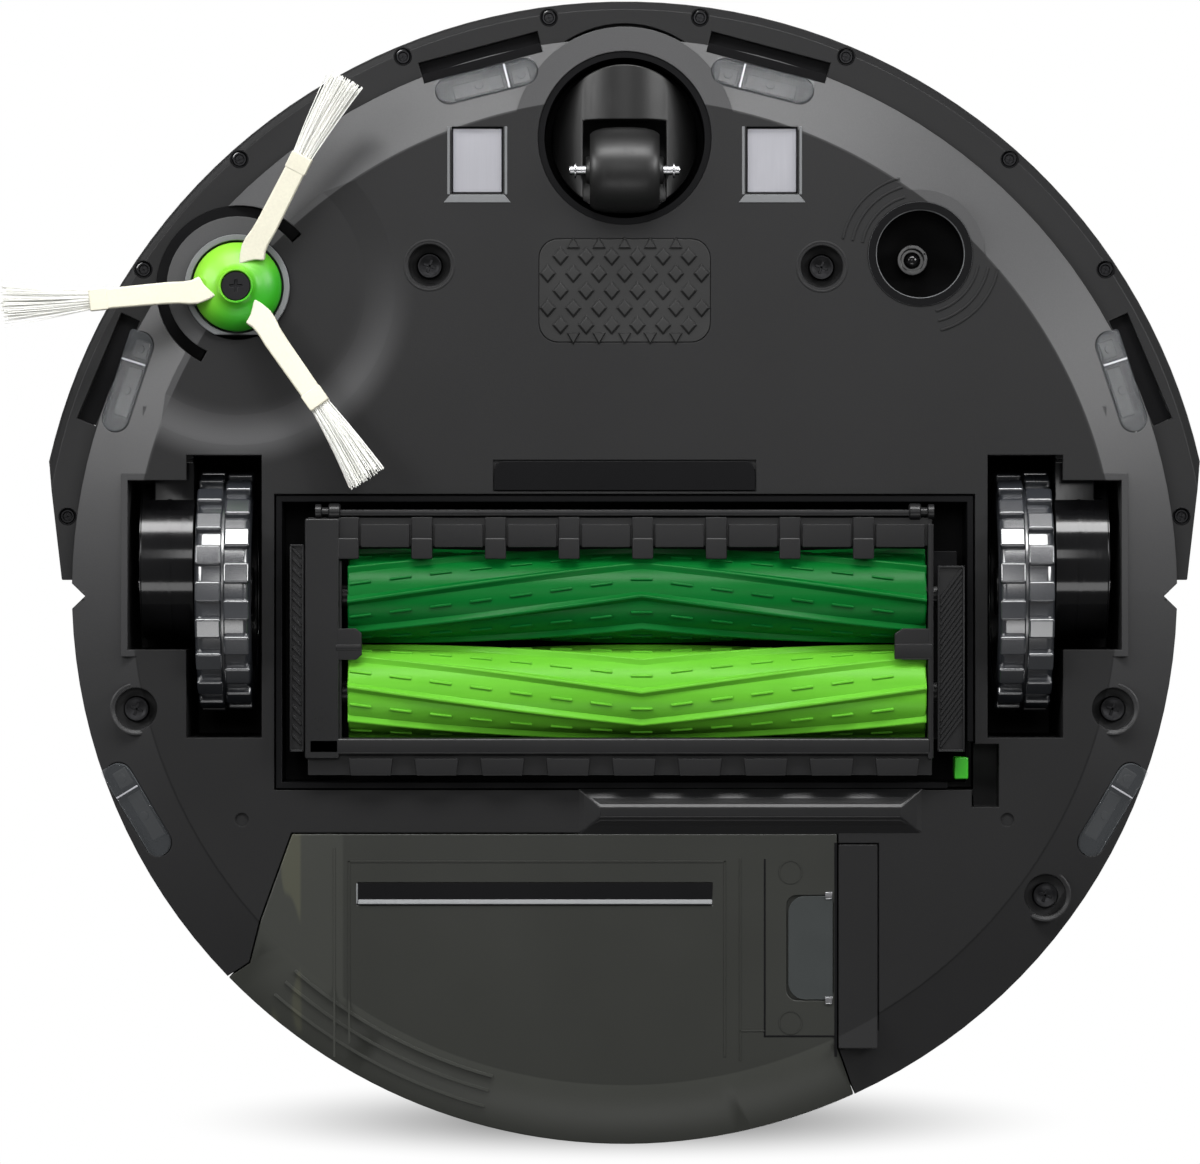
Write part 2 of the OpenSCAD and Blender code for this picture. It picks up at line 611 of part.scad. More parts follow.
module tyre() difference() {
  union() {
    rod_x(wheel_r - lug_h, wheel_x - wheel_w / 2, wheel_x + wheel_w / 2, 0, wheel_r);
    intersection() {
      rod_x(wheel_r, wheel_x - wheel_w / 2, wheel_x + wheel_w / 2, 0, wheel_r);
      for (row = [0, 1], k = [0:lugs - 1]) translate([wheel_x, 0, wheel_r])
        rotate([(k + row / 2) * 360 / lugs, 0, 0])
          box((row - 1) * wheel_w / 2, row * wheel_w / 2, -wheel_r * 0.086, wheel_r * 0.086,
              wheel_r - lug_h - 1, wheel_r + 1);
    }
  }
  rod_x(wheel_r - 8, wheel_x - 20, wheel_x + 20, 0, wheel_r);
}
module rim() difference() {
  union() {
    rod_x(wheel_r - 8.05, wheel_x - wheel_w / 2 + 0.6, wheel_x + wheel_w / 2 - 0.6, 0, wheel_r);
    rod_x(3, wheel_x, drum_x1 - 4, 0, wheel_r);
    rod_x(7, wheel_x, drum_x0 - 0.4, 0, wheel_r);
  }
  for (s = [-1, 1]) difference() {
    rod_x(wheel_r - 10.4, wheel_x + s * 6 - 4.4, wheel_x + s * 6 + 4.4, 0, wheel_r);
    rod_x(7, wheel_x - 20, wheel_x + 20, 0, wheel_r);
  }
  for (a = [0:60:300]) translate([0, 0, wheel_r]) rotate([a, 0, 0]) rod_x(4, 100, 140, 16, 0);
}
module arm() difference() {
  union() {
    rod_x(drum_r, drum_x0, drum_x1, drum_y, drum_z);
    rod_x(7, 128.2, 140.2, pivot_y, pivot_z);
    box(128.2, 140.2, pivot_y, drum_y - 6, pivot_z - 4, pivot_z + 7);
  }
  rod_x(drum_r - 2.2, drum_x0 + 2.2, drum_x1 - 2.2, drum_y, drum_z);
  rod_x(3 + run_gap, 120, 150, pivot_y, pivot_z);
  rod_x(3 + run_gap, 120, drum_x1 - 2, 0, wheel_r);
}
module gearmotor() {
  rod_x(11, drum_x0 + 2.6, drum_x1 - 2.6, drum_y - 7, drum_z + 5);
}
module coil(x, y, z0, z1, r, turns) {
  post(0.5, x + r, y, z0, z1);
  for (k = [0:turns]) translate([x, y, z0 + 0.8 + k * (z1 - z0 - 1.6) / turns])
    rotate_extrude($fn = 48) translate([r, 0]) circle(r = 0.7, $fn = 16);
}
module left_tyre() color([0.16, 0.17, 0.18]) tyre();
module right_tyre() color([0.16, 0.17, 0.18]) mirror([1, 0, 0]) tyre();
module left_rim() color([0.2, 0.2, 0.21]) rim();
module right_rim() color([0.2, 0.2, 0.21]) mirror([1, 0, 0]) rim();
module left_arm() color([0.05, 0.05, 0.05]) arm();
module right_arm() color([0.05, 0.05, 0.05]) mirror([1, 0, 0]) arm();
module left_motor() color([0.6, 0.6, 0.62]) gearmotor();
module right_motor() color([0.6, 0.6, 0.62]) mirror([1, 0, 0]) gearmotor();
module left_spring() color([0.7, 0.7, 0.72]) coil(136, drum_y, drum_z + drum_r + 0.1, well_z - 0.1, 4.5, 5);
module right_spring() color([0.7, 0.7, 0.72]) mirror([1, 0, 0])
  coil(136, drum_y, drum_z + drum_r + 0.1, well_z - 0.1, 4.5, 5);

module bumper_wall() difference() {
  intersection() {
    rotate_extrude($fn = 200)
      polygon([[0, skirt_z + 3.1], [bumper_r, skirt_z + 3.1], [bumper_r, deck_z - 8],
               [bumper_r - 1.4, deck_z - 5.4], [bumper_r - 4, deck_z - 4], [0, deck_z - 4]]);
    taper(0, 0, body_h);
  }
  intersection() {
    translate([0, 0, skirt_z + 5.6]) cylinder(r = bumper_r - wall, h = deck_z - skirt_z - 12, $fn = 200);
    union() {
      taper(wall, 0, body_h);
      box(-150, 150, -40, 10, 0, body_h);
    }
  }
  cylinder(r = chassis_r + bumper_travel + 0.8, h = body_h, $fn = 200);
  box(-(chassis_r - 2), chassis_r - 2, -60, 10, 0, body_h);
}
module bumper_shell() color([0.2, 0.2, 0.21]) difference() {
  bumper_wall();
  difference() {
    translate([0, 0, 50]) cylinder(r = bumper_r + 3, h = 16, $fn = 200);
    translate([0, 0, 49]) cylinder(r = bumper_r - 1.05, h = 18, $fn = 200);
    box(-far, far, -90, far, 0, body_h);
  }
  bumper_screw_spots() post(0.9, 0, 0, 0, skirt_z + 7);
}
module bumper_window() color([0.03, 0.03, 0.04, 0.85]) difference() {
  translate([0, 0, 50.2]) cylinder(r = bumper_r + 0.2, h = 15.6, $fn = 200);
  translate([0, 0, 49]) cylinder(r = bumper_r - 1, h = 18, $fn = 200);
  box(-far, far, -90.2, far, 0, body_h);
}
module bumper_screw_spots() {
  for (a = screw_angles) both()
    translate([screw_ring * sin(a), -screw_ring * cos(a), 0]) children();
  both() translate([bumper_end_x - 1.7, -22.4, 0]) children();
}
module bumper_skirt() color([0.16, 0.16, 0.17]) difference() {
  intersection() {
    rotate_extrude($fn = 200)
      polygon([[nose_r + 5.1, skirt_z], [bumper_r - 2.6, skirt_z], [bumper_r - 0.4, skirt_z + 3],
               [nose_r + 5.1, skirt_z + 3]]);
    taper(0, 0, body_h);
  }
  post(cup_r + 8, 0, -caster_y - bumper_travel, 0, body_h);
  post(channel_r, brush_x, brush_y, 0, body_h);
  front_sight();
  side_sight();
  bumper_screw_spots() {
    post(2.4, 0, 0, 0, skirt_z + 1.4);
    post(0.9, 0, 0, 0, skirt_z + 9);
  }
}
module bumper_screws() color([0.05, 0.05, 0.05]) bumper_screw_spots() {
  post(2.2, 0, 0, skirt_z + 0.5, skirt_z + 1.4);
  post(0.85, 0, 0, skirt_z + 1.4, skirt_z + 5.4);
}

module bin_body() color([0.13, 0.13, 0.13, 0.9]) difference() {
  intersection() {
    bin_space(0, belly_z - 1, bin_top);
    body_solid(0, bin_top);
  }
  difference() {
    intersection() {
      bin_space(-wall, belly_z + wall, bin_top - wall);
      body_solid(wall, bin_top);
    }
    box(bin_right - 28, bin_right - 25.6, 0, far, 0, body_h);
  }
  box(-60, 20, bin_y - 1, bin_y + wall + 1, roof_z - 12, roof_z);
  box(bin_right - 28.5, bin_right - 25, 84, 126, 26, 66);
  box(bin_right - 3, bin_right + 1, 88, 112, 32, 58);
  box(-79, 25.9, 86.4, 93, 0, belly_z + 1.2);
  translate([bin_right - 8, 105.7, 0]) rounded(13.8, 31, 3, 0, belly_z + 1);
  box(-34.8 - gap, -13.2 + gap, button_y - 16, chassis_r + 5, 61.7 - gap, 70.3 + gap);
}
module bin_filter() color([0.85, 0.83, 0.75]) {
  box(bin_right - 25.4, bin_right - 20, 82, 128, 24, 68);
  for (y = [84:4:124]) box(bin_right - 20, bin_right - 16, y, y + 1.6, 26, 66);
}
module bin_window() color([0.3, 0.31, 0.32, 0.6]) translate([bin_right - 8, 105.7, 0]) {
  intersection() {
    rounded(13.2, 30.4, 2.8, belly_z - 0.2, belly_z + 0.9);
    box(-5.6, 9, -20, 20, 0, 20);
  }
}
module bin_button() color([0.2, 0.2, 0.21]) intersection() {
  box(-34.8, -13.2, button_y, chassis_r, 61.7, 70.3);
  cylinder(r = chassis_r, h = body_h, $fn = 200);
}

base_shell();
top_cover();
top_plate();
trim_ring();
homing_window();
main_button();
left_button();
right_button();
carry_handle();
handle_pins();
circuit_board();
battery_pack();
suction_fan();
head_motor();
brush_motor();
charge_contacts();
caster_socket();
caster_fork();
caster_axle();
caster_wheel();
grip_pad();
sensor_cup();
sensor_lens();
front_cliff_lenses();
side_cliff_lenses();
rear_cliff_lenses();
base_screws();
label_plate();
side_panel();
brush_collar();
brush_hub();
brush_screw();
brush_arms();
brush_bristles();
head_frame();
front_roller();
rear_roller();
front_roller_core();
rear_roller_core();
roller_guard();
release_lever();
head_catch();
left_tyre();
right_tyre();
left_rim();
right_rim();
left_arm();
right_arm();
left_motor();
right_motor();
left_spring();
right_spring();
bumper_shell();
bumper_window();
bumper_skirt();
bumper_screws();
bin_body();
bin_filter();
bin_window();
bin_button();
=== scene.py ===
"""Looks of a round robot vacuum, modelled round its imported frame.

Shapes are made in millimetres, and a finished piece is brought to metres. Finishes work in metres.
"""

import json
import math
import random

import bmesh
import bpy
from mathutils import Matrix, Vector


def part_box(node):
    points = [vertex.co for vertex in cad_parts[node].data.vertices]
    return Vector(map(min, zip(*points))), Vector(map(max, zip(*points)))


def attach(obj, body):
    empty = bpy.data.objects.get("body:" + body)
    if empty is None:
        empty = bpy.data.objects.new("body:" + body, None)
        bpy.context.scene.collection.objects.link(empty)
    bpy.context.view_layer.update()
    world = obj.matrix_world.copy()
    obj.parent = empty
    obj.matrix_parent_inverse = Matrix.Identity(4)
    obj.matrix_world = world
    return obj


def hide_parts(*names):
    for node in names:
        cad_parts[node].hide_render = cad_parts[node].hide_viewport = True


bl_info = {
    "name": "Robot vacuum looks",
    "version": (1, 0, 0),
    "blender": (4, 5, 0),
    "location": "View3D > Sidebar > Robot vacuum",
    "description": "Models and finishes the pieces of a round robot vacuum",
    "category": "Object",
}

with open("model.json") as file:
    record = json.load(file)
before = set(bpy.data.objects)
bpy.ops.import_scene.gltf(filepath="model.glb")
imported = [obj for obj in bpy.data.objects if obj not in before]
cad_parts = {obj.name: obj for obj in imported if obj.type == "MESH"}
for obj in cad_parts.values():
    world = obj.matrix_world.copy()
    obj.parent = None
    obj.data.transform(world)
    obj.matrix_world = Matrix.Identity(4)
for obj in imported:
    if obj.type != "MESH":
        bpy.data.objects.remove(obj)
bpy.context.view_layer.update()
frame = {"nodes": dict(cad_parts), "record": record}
MM = 0.001
RIDGE = 2.4  # how far the ridge behind the rollers stands out under the flat underside
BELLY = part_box("base_shell")[0].z / MM + RIDGE
LEDGE = 9.55  # ceiling of the sensor recesses over the flat underside
SIGHT_Z = BELLY + 13.9  # black plates of painted shade behind the openings in the bumper's lower edge
FLAT_RADIUS = 145.9  # of the flat underside, where the sloping ring starts
SLOPE = 26.6  # of the sloping ring, in degrees
PALE_RADIUS = 0.1464  # where the sloping ring's finish, with its painted paler tone, starts, in metres
PANEL_TAB = "Robot vacuum"
SLOT_COLOURS = {m["slot"]: m["base_color"][:3] for m in frame["record"]["materials"]}
NODE_SLOTS = {s["node"]: s["material_slot"] for s in frame["record"]["subparts"]}
NODE_BODIES = {
    node: body for body, nodes in frame["record"]["behaviour"]["bodies"].items() for node in nodes
}


# ---------------------------------------------------------------- settings


def colour_setting(slot, label):
    """A colour that starts as the record gives it."""
    return bpy.props.FloatVectorProperty(
        name=label, description=f"Base colour of the {label.lower()}", subtype="COLOR",
        size=3, min=0, max=1, default=SLOT_COLOURS[slot],
    )


def length_setting(label, text, default):
    """A length in metres."""
    return bpy.props.FloatProperty(name=label, description=text, default=default, min=0, unit="LENGTH")


class RobotColours(bpy.types.PropertyGroup):
    """Colours a user would change."""

    shell: colour_setting("shell", "Underside shell")
    cover: colour_setting("cover", "Top cover and bumper")
    front_roller: colour_setting("green_rubber_dark", "Front roller")
    rear_roller: colour_setting("green_rubber_lime", "Rear roller")
    hub: colour_setting("lime_plastic", "Side brush hub")
    arms: colour_setting("cream_plastic", "Side brush arms")
    tyre: colour_setting("tyre_rubber", "Tyres")
    contacts: colour_setting("contact_metal", "Charging contacts")


class RobotSizes(bpy.types.PropertyGroup):
    """Sizes and counts a user would change."""

    edge: length_setting("Edge radius", "Radius of the moulded edges", 0.0003)
    ridge_height: length_setting("Roller ridge", "Height of the roller ridges", 0.0014)
    ridges: bpy.props.IntProperty(name="Ridges", description="Ridges round a roller", default=8, min=3)
    dashes: bpy.props.IntProperty(name="Dashes", description="Short ribs in a row", default=14, min=2)
    lugs: bpy.props.IntProperty(name="Lugs", description="Lugs in a row of a tyre", default=20, min=8)
    bristles: bpy.props.IntProperty(name="Bristles", description="Bristles in a tuft", default=110, min=9)
    bristle_radius: length_setting("Bristle radius", "Radius of one bristle", 0.00016)


class RobotStage(bpy.types.PropertyGroup):
    """Camera, floor and lights."""

    distance: length_setting("Camera distance", "Distance of the camera below the floor line", 2.0)
    field: length_setting("Field width", "Width that the picture spans at the underside", 0.3558)
    key_power: bpy.props.FloatProperty(name="Key light", description="Power of the key light", default=27)
    fill_power: bpy.props.FloatProperty(name="Fill light", description="Power of the fill", default=14)
    floor_colour: bpy.props.FloatVectorProperty(
        name="Floor", description="Colour of the floor", subtype="COLOR", size=3, default=(0.8, 0.8, 0.8)
    )


def colours():
    """The colour settings."""
    return bpy.context.scene.robot_colours


def sizes():
    """The size settings."""
    return bpy.context.scene.robot_sizes


# ---------------------------------------------------------------- finishes


class Wire:
    """The output of a shader node, so that shader maths reads as ordinary sums."""

    def __init__(self, finish, socket):
        self.finish, self.socket = finish, socket

    def maths(self, operation, *terms):
        """A Math node's result."""
        return self.finish.node("ShaderNodeMath", {"operation": operation}, dict(enumerate(terms)))

    def __add__(self, other):
        return self.maths("ADD", self, other)

    def __sub__(self, other):
        return self.maths("SUBTRACT", self, other)

    def __rsub__(self, other):
        return self.maths("SUBTRACT", other, self)

    def __mul__(self, other):
        return self.maths("MULTIPLY", self, other)

    def __truediv__(self, other):
        return self.maths("DIVIDE", self, other)

    def __pow__(self, other):
        return self.maths("POWER", self, other)

    __radd__ = __add__
    __rmul__ = __mul__

    def above(self, edge, blur=0.0):
        """1 where the value is over an edge, 0 where it is under."""
        if not blur:
            return self.maths("GREATER_THAN", self, edge)
        return self.finish.node(
            "ShaderNodeMapRange", {"interpolation_type": "SMOOTHSTEP"},
            {"Value": self, "From Min": edge - blur, "From Max": edge + blur},
        )

    def size(self):
        """The value without its sign."""
        return self.maths("ABSOLUTE", self)


class Finish:
    """One procedural material. Constant values sit on the shader's own sockets."""

    def __init__(self, name, constants):
        self.material = bpy.data.materials.new(name)
        self.material.use_nodes = True
        self.tree = self.material.node_tree
        self.shader = self.tree.nodes["Principled BSDF"]
        for socket, value in constants.items():
            self.shader.inputs[socket].default_value = value
        self.place = self.node("ShaderNodeTexCoord", {}, {}, "Object")

    def node(self, kind, settings, inputs, output=0):
        """Adds a node: first its type, then its settings, then the values or links of its sockets."""
        made = self.tree.nodes.new(kind)
        for setting, value in settings.items():
            if setting == "stops":
                for stop, (position, shade) in zip(self.stops(made, len(value)), value):
                    stop.position, stop.color = position, shade
            else:
                setattr(made, setting, value)
        for socket, value in inputs.items():
            self.feed(made.inputs[socket], value)
        return Wire(self, made.outputs[output])

    def stops(self, ramp, count):
        """The stops of a colour ramp, made as many as are asked for."""
        while len(ramp.color_ramp.elements) < count:
            ramp.color_ramp.elements.new(1.0)
        return ramp.color_ramp.elements

    def feed(self, socket, value):
        """Gives a socket a link, a colour or a number."""
        if isinstance(value, Wire):
            self.tree.links.new(value.socket, socket)
        elif socket.type == "RGBA" and len(value) == 3:
            socket.default_value = (*value, 1)
        else:
            socket.default_value = value

    def set(self, socket, value):
        """Feeds one socket of the shader."""
        self.feed(self.shader.inputs[socket], value)

    def noise(self, scale, detail=2.0, place=None):
        """Cloudy noise, with its scale in features a metre."""
        return self.node(
            "ShaderNodeTexNoise", {}, {"Vector": place or self.place, "Scale": scale, "Detail": detail}
        )

    def stretched(self, x, y, z):
        """Object coordinates scaled along each axis."""
        return self.node("ShaderNodeMapping", {}, {"Vector": self.place, "Scale": (x, y, z)})

    def axes(self):
        """Object coordinates as three numbers."""
        split = self.node("ShaderNodeSeparateXYZ", {}, {"Vector": self.place})
        outputs = split.socket.node.outputs
        return [Wire(self, outputs[axis]) for axis in "XYZ"]

    def mix(self, first, second, share):
        """A colour between two colours."""
        return self.node("ShaderNodeMix", {"data_type": "RGBA"}, {0: share, 6: first, 7: second}, 2)

    def shade(self, colour, tone):
        """A colour made lighter or darker by a number round 1."""
        return self.node("ShaderNodeVectorMath", {"operation": "SCALE"}, {0: colour, "Scale": tone})

    def bump(self, height, depth_mm, edge=0.0):
        """Raises the surface by a height from 0 to 1, times a depth in millimetres, over softened edges."""
        inputs = {"Height": height, "Distance": depth_mm * MM}
        if edge:
            inputs["Normal"] = self.node("ShaderNodeBevel", {"samples": 4}, {"Radius": edge})
        self.set("Normal", self.node("ShaderNodeBump", {}, inputs))


def scaled(colour, *tones):
    """A colour as numbers, times one tone or a tone for each of its parts."""
    return tuple(part * tones[k % len(tones)] for k, part in enumerate(colour))


def moulded(name, colour, rough, grain=2200, depth=0.02, gloss=0.35):
    """Spark-eroded moulded plastic: fine grain, faint flow marks, a little dust in the grain."""
    f = Finish(name, {"Specular IOR Level": gloss})
    flow, fine = f.noise(28, 3), f.noise(grain, 2)
    f.set("Base Color", f.shade(colour, 1 + (flow - 0.5) * 0.22 + (fine - 0.5) * 0.16))
    f.set("Roughness", rough + (flow - 0.5) * 0.12 + (fine - 0.5) * 0.14)
    f.bump(fine, depth)
    return f


def glossy(name, colour, rough):
    """Polished plastic: faint smears and hairline wear, so that its highlights break up a little."""
    f = Finish(name, {})
    smear = f.noise(36, 4)
    hair = f.noise(1, 3, f.stretched(900, 120, 400))
    f.set("Base Color", f.shade(colour, 1 + (smear - 0.5) * 0.15))
    f.set("Roughness", rough + smear.above(0.56, 0.12) * 0.06 + hair.above(0.62, 0.06) * 0.05)
    f.bump(hair, 0.002)
    return f


def rubber(name, colour, rough, grain=1500, depth=0.02, bloom=0.1):
    """Moulded rubber: a fine skin, and a pale bloom in places."""
    f = Finish(name, {})
    cloud, fine = f.noise(45, 4), f.noise(grain, 3)
    pale = tuple(0.75 * c + 0.25 for c in colour)
    f.set("Base Color", f.mix(f.shade(colour, 0.92 + cloud * 0.16), pale, cloud.above(0.6, 0.2) * bloom))
    f.set("Roughness", rough + (cloud - 0.5) * 0.16 + (fine - 0.5) * 0.1)
    f.bump(fine, depth)
    return f


def metal(name, colour, rough, run=(40, 2600, 2600)):
    """Drawn or brushed metal: fine lines along one axis and slight stains."""
    f = Finish(name, {"Metallic": 1.0})
    lines, stain = f.noise(1, 3, f.stretched(*run)), f.noise(60, 3)
    f.set("Base Color", f.shade(colour, 0.9 + lines * 0.12 + (stain - 0.5) * 0.12))
    f.set("Roughness", rough + (lines - 0.5) * 0.16 + stain.above(0.55, 0.1) * 0.06)
    f.bump(lines, 0.004)
    return f


def clear(name, colour, rough, alpha):
    """Clear or smoked moulded lens, seen through, with faint flow lines."""
    f = Finish(name, {"IOR": 1.49})
    flow = f.noise(90, 3)
    edge = f.node("ShaderNodeLayerWeight", {}, {"Blend": 0.35}, "Facing")
    f.set("Base Color", f.shade(colour, 0.9 + flow * 0.2))
    f.set("Roughness", rough + flow * 0.05)
    f.set("Alpha", alpha + edge * (1 - alpha) * 0.4)
    f.bump(flow, 0.003)
    return f


def shell_finish(slot):
    """Underside plastic: grained on the flat belly and smoother on the sloping ring. Painted light: the ring is
    painted paler as a painted reflection, the whole underside is painted paler towards the front, and a pale
    crescent round the side brush's dish is a painted highlight.
    """
    f = Finish(slot, {"Coat Roughness": 0.3, "Specular IOR Level": 0.14})
    x, y, _ = f.axes()
    radius = (x * x + y * y) ** 0.5
    ring = radius.above(PALE_RADIUS, 0.0002)
    # painted light: the colour is painted paler towards the front, where the key lamp shines; the coat is raised
    # there too
    front = (y * -1).above(0.02, 0.12)
    brush = middle("brush_screw") * MM
    across, along = x - brush.x, y - brush.y
    reach = (across * across + along * along) ** 0.5
    dish_in, dish_out = 0.04, 0.0495
    # painted highlight: a pale crescent on the far side of the dish round the side brush
    dish = reach.above(dish_in, 0.006) * (1 - reach.above(dish_out, 0.0045)) * (along / reach).above(0.3, 0.7)
    flow, fine = f.noise(20, 3), f.noise(2400, 2)
    belly, painted_dish_highlight = tuple(colours().shell), scaled(colours().shell, 6)
    grain = 1 + (flow - 0.5) * 0.2 + (fine - 0.5) * 0.2
    # painted light: the belly is painted darker, the ring paler as a painted reflection, and both paler towards
    # the front
    tone = (0.66 + front * 0.4) * (1 - ring) + ring * (1.1 + front * 2.2)
    f.set("Base Color", f.mix(f.shade(belly, tone * grain), painted_dish_highlight, dish * (1 - ring) * 0.5))
    f.set("Roughness", 0.5 + (fine - 0.5) * 0.16 + (flow - 0.5) * 0.08 - ring * 0.14)
    f.set("Coat Weight", ring * (0.05 + front * 0.12))
    f.bump(fine, 0.02, sizes().edge * 1.6)
    return f


def smoke_finish(slot):
    """Smoked bin plastic, opaque. Painted light: it is painted paler on its sloping ring as a painted
    reflection, and painted paler with warm lit cells where an empty wall would let light through.
    """
    f = Finish(slot, {"IOR": 1.5, "Specular IOR Level": 0.35})
    x, y, _ = f.axes()
    flow = f.noise(26, 3)
    ring = ((x * x + y * y) ** 0.5).above(PALE_RADIUS, 0.0003)
    wall_x, pillar_x, pillar_half = 0.0835, 100.5, 4.4  # the empty wall, and the pillar in it in millimetres
    # painted light: where the empty wall is, the colour is painted paler, with warm lit cells of what is behind
    # it; the surface stays opaque
    wall = (x * -1).above(wall_x, 0.0004)
    band = (x / MM + pillar_x).size().above(pillar_half, 0.5)
    cell = f.noise(1, 0, f.stretched(150, 42, 60)).above(0.52, 0.03)
    colour = SLOT_COLOURS[slot]
    paler = scaled(colour, 1.6)
    painted_light_through = scaled(colour, 3.2, 3.1, 2.4)
    seen = f.mix(paler, painted_light_through, cell * (1 - band) * 0.8)
    # painted reflection: the sloping ring is painted paler
    plain = f.mix(f.shade(colour, 0.9 + flow * 0.2), f.shade(paler, 0.9 + flow * 0.2), ring)
    f.set("Base Color", f.mix(plain, seen, wall * 0.75))
    f.set("Roughness", 0.34 + flow * 0.1)
    f.bump(flow, 0.02)
    return f


def hub_finish(slot):
    """Glossy green plastic with painted light: painted a shaded deep green, and painted paler and yellowish
    towards the side the lamps light.
    """
    f = Finish(slot, {"Coat Weight": 0.08, "Coat Roughness": 0.1})
    x, y, _ = f.axes()
    hub = middle("brush_screw") * MM
    # painted light: paler and yellowish towards the hub's -X, -Y side, which the lamps light
    painted_light_side = ((hub.x - x) + (hub.y - y)).above(0.002, 0.014)
    flow = f.noise(70, 3)
    colour = tuple(colours().hub)
    # painted light: a shaded copy and a lit copy of the hub's green
    deep, pale = scaled(colour, 0.2, 0.62, 1), scaled(colour, 2.1, 1.2, 4)
    f.set("Base Color", f.mix(f.shade(deep, 0.92 + flow * 0.16), pale, painted_light_side * 0.85))
    f.set("Roughness", 0.38 + flow * 0.08)
    f.bump(flow, 0.01)
    return f


def tyre_finish(slot):
    """Polished tyre rubber: mirror-like lug faces with a bluish sheen and scuffed patches."""
    f = Finish(slot, {"IOR": 1.9, "Coat Weight": 1.0, "Coat IOR": 1.75, "Coat Roughness": 0.2})
    scuff, fine = f.noise(55, 4), f.noise(1300, 2)
    colour = tuple(colours().tyre)
    f.set("Base Color", f.mix(f.shade(colour, 0.9 + fine * 0.2), scaled(colour, 2.2), scuff * 0.4))
    f.set("Roughness", 0.24 + scuff * 0.05)
    f.bump(fine, 0.001)
    return f


def board_finish(slot):
    """Circuit board: green lacquer over copper tracks, with bare pads."""
    f = Finish(slot, {"Coat Weight": 0.4})
    tracks = f.node(
        "ShaderNodeTexBrick", {"offset": 0.5},
        {"Vector": f.place, "Scale": 240.0, "Mortar Size": 0.03, "Color1": (0, 0, 0, 1),
         "Color2": (0.1, 0.1, 0.1, 1), "Mortar": (1, 1, 1, 1)},
    )
    green, track = SLOT_COLOURS[slot], scaled(SLOT_COLOURS[slot], 1.8)
    f.set("Base Color", f.mix(green, track, tracks))
    f.set("Roughness", 0.35 + f.noise(400, 2) * 0.15)
    f.bump(tracks, 0.03)
    return f


def filter_finish(slot):
    """Pleated filter paper: fibres in every direction."""
    f = Finish(slot, {"Sheen Weight": 0.3})
    fibre = f.noise(1, 6, f.stretched(900, 2400, 700))
    f.set("Base Color", f.shade(SLOT_COLOURS[slot], 0.75 + fibre * 0.4))
    f.set("Roughness", 0.8 + fibre * 0.15)
    f.bump(fibre, 0.08)
    return f


def green_finish(slot, colour):
    """Soft roller rubber: a satin skin with mould flow and darker cloudy patches and streaks."""
    f = Finish(slot, {"Specular IOR Level": 0.12})
    cloud, fine = f.noise(60, 4), f.noise(1800, 2)
    streak = f.noise(1, 3, f.stretched(30, 420, 420))
    deep = scaled(colour, 0.6, 0.7, 0.5)
    f.set("Base Color", f.mix(f.shade(deep, 0.94 + fine * 0.12), colour, cloud * 0.5 + streak * 0.5))
    f.set("Roughness", 0.34 + (cloud - 0.5) * 0.14 + (streak - 0.5) * 0.1)
    f.bump(fine * 0.4 + streak * 0.6, 0.03)
    return f


def finish_makers():
    """One maker for each of the record's material slots."""
    c = colours()
    slot_colour = SLOT_COLOURS.get
    plain = {
        "cover": (moulded, tuple(c.cover), 0.42, 2400, 0.018, 0.16),
        "gloss_black": (glossy, slot_colour("gloss_black"), 0.1),
        "silver_plastic": (glossy, slot_colour("silver_plastic"), 0.28),
        "dark_lens": (glossy, slot_colour("dark_lens"), 0.05),
        "grey_plastic": (moulded, slot_colour("grey_plastic"), 0.4, 2000, 0.015),
        "frame_black": (moulded, slot_colour("frame_black"), 0.32, 2600, 0.004, 0.4),
        "steel": (metal, slot_colour("steel"), 0.22),
        "battery_wrap": (glossy, slot_colour("battery_wrap"), 0.22),
        "motor_metal": (metal, slot_colour("motor_metal"), 0.34, (30, 30, 2200)),
        "contact_metal": (metal, scaled(c.contacts, 0.66), 0.42, (2600, 60, 2600)),
        "deep_black": (moulded, slot_colour("deep_black"), 0.5, 1800, 0.02, 0.1),
        "caster_roller": (glossy, slot_colour("caster_roller"), 0.38),
        "pad_rubber": (rubber, scaled(slot_colour("pad_rubber"), 0.55), 0.55, 1600, 0.03, 0.02),
        "clear_lens": (clear, (0.3, 0.32, 0.34), 0.05, 0.05),
        "screw_black": (metal, (0.035, 0.035, 0.037), 0.34, (900, 900, 900)),
        "cream_plastic": (moulded, scaled(c.arms, 0.82), 0.42, 1300, 0.02),
        "bristle": (moulded, slot_colour("bristle"), 0.4, 3000, 0.01),
        "smoke_window": (clear, (0.05, 0.055, 0.055), 0.16, 0.75),
    }
    makers = {slot: (lambda name, r=recipe: r[0](name, *r[1:])) for slot, recipe in plain.items()}
    makers["shell"] = shell_finish
    makers["smoke"] = smoke_finish
    makers["lime_plastic"] = hub_finish
    makers["tyre_rubber"] = tyre_finish
    makers["board_green"] = board_finish
    makers["filter_media"] = filter_finish
    makers["green_rubber_dark"] = lambda slot: green_finish(slot, tuple(c.front_roller))
    makers["green_rubber_lime"] = lambda slot: green_finish(slot, tuple(c.rear_roller))
    return makers


FINISHES = {}


def finish_for(slot):
    """The material of a slot, made when it is first needed."""
    if slot not in FINISHES:
        FINISHES[slot] = finish_makers()[slot](slot).material
    return FINISHES[slot]


# ---------------------------------------------------------------- modelling


def span(node):
    """Lowest and highest corner of a carried-over node, in millimetres."""
    low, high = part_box(node)
    return low / MM, high / MM


def middle(node):
    """Middle of a carried-over node, in millimetres."""
    low, high = span(node)
    return (low + high) / 2


def shift(x, y, z=0):
    """A move along the axes."""
    return Matrix.Translation((x, y, z))


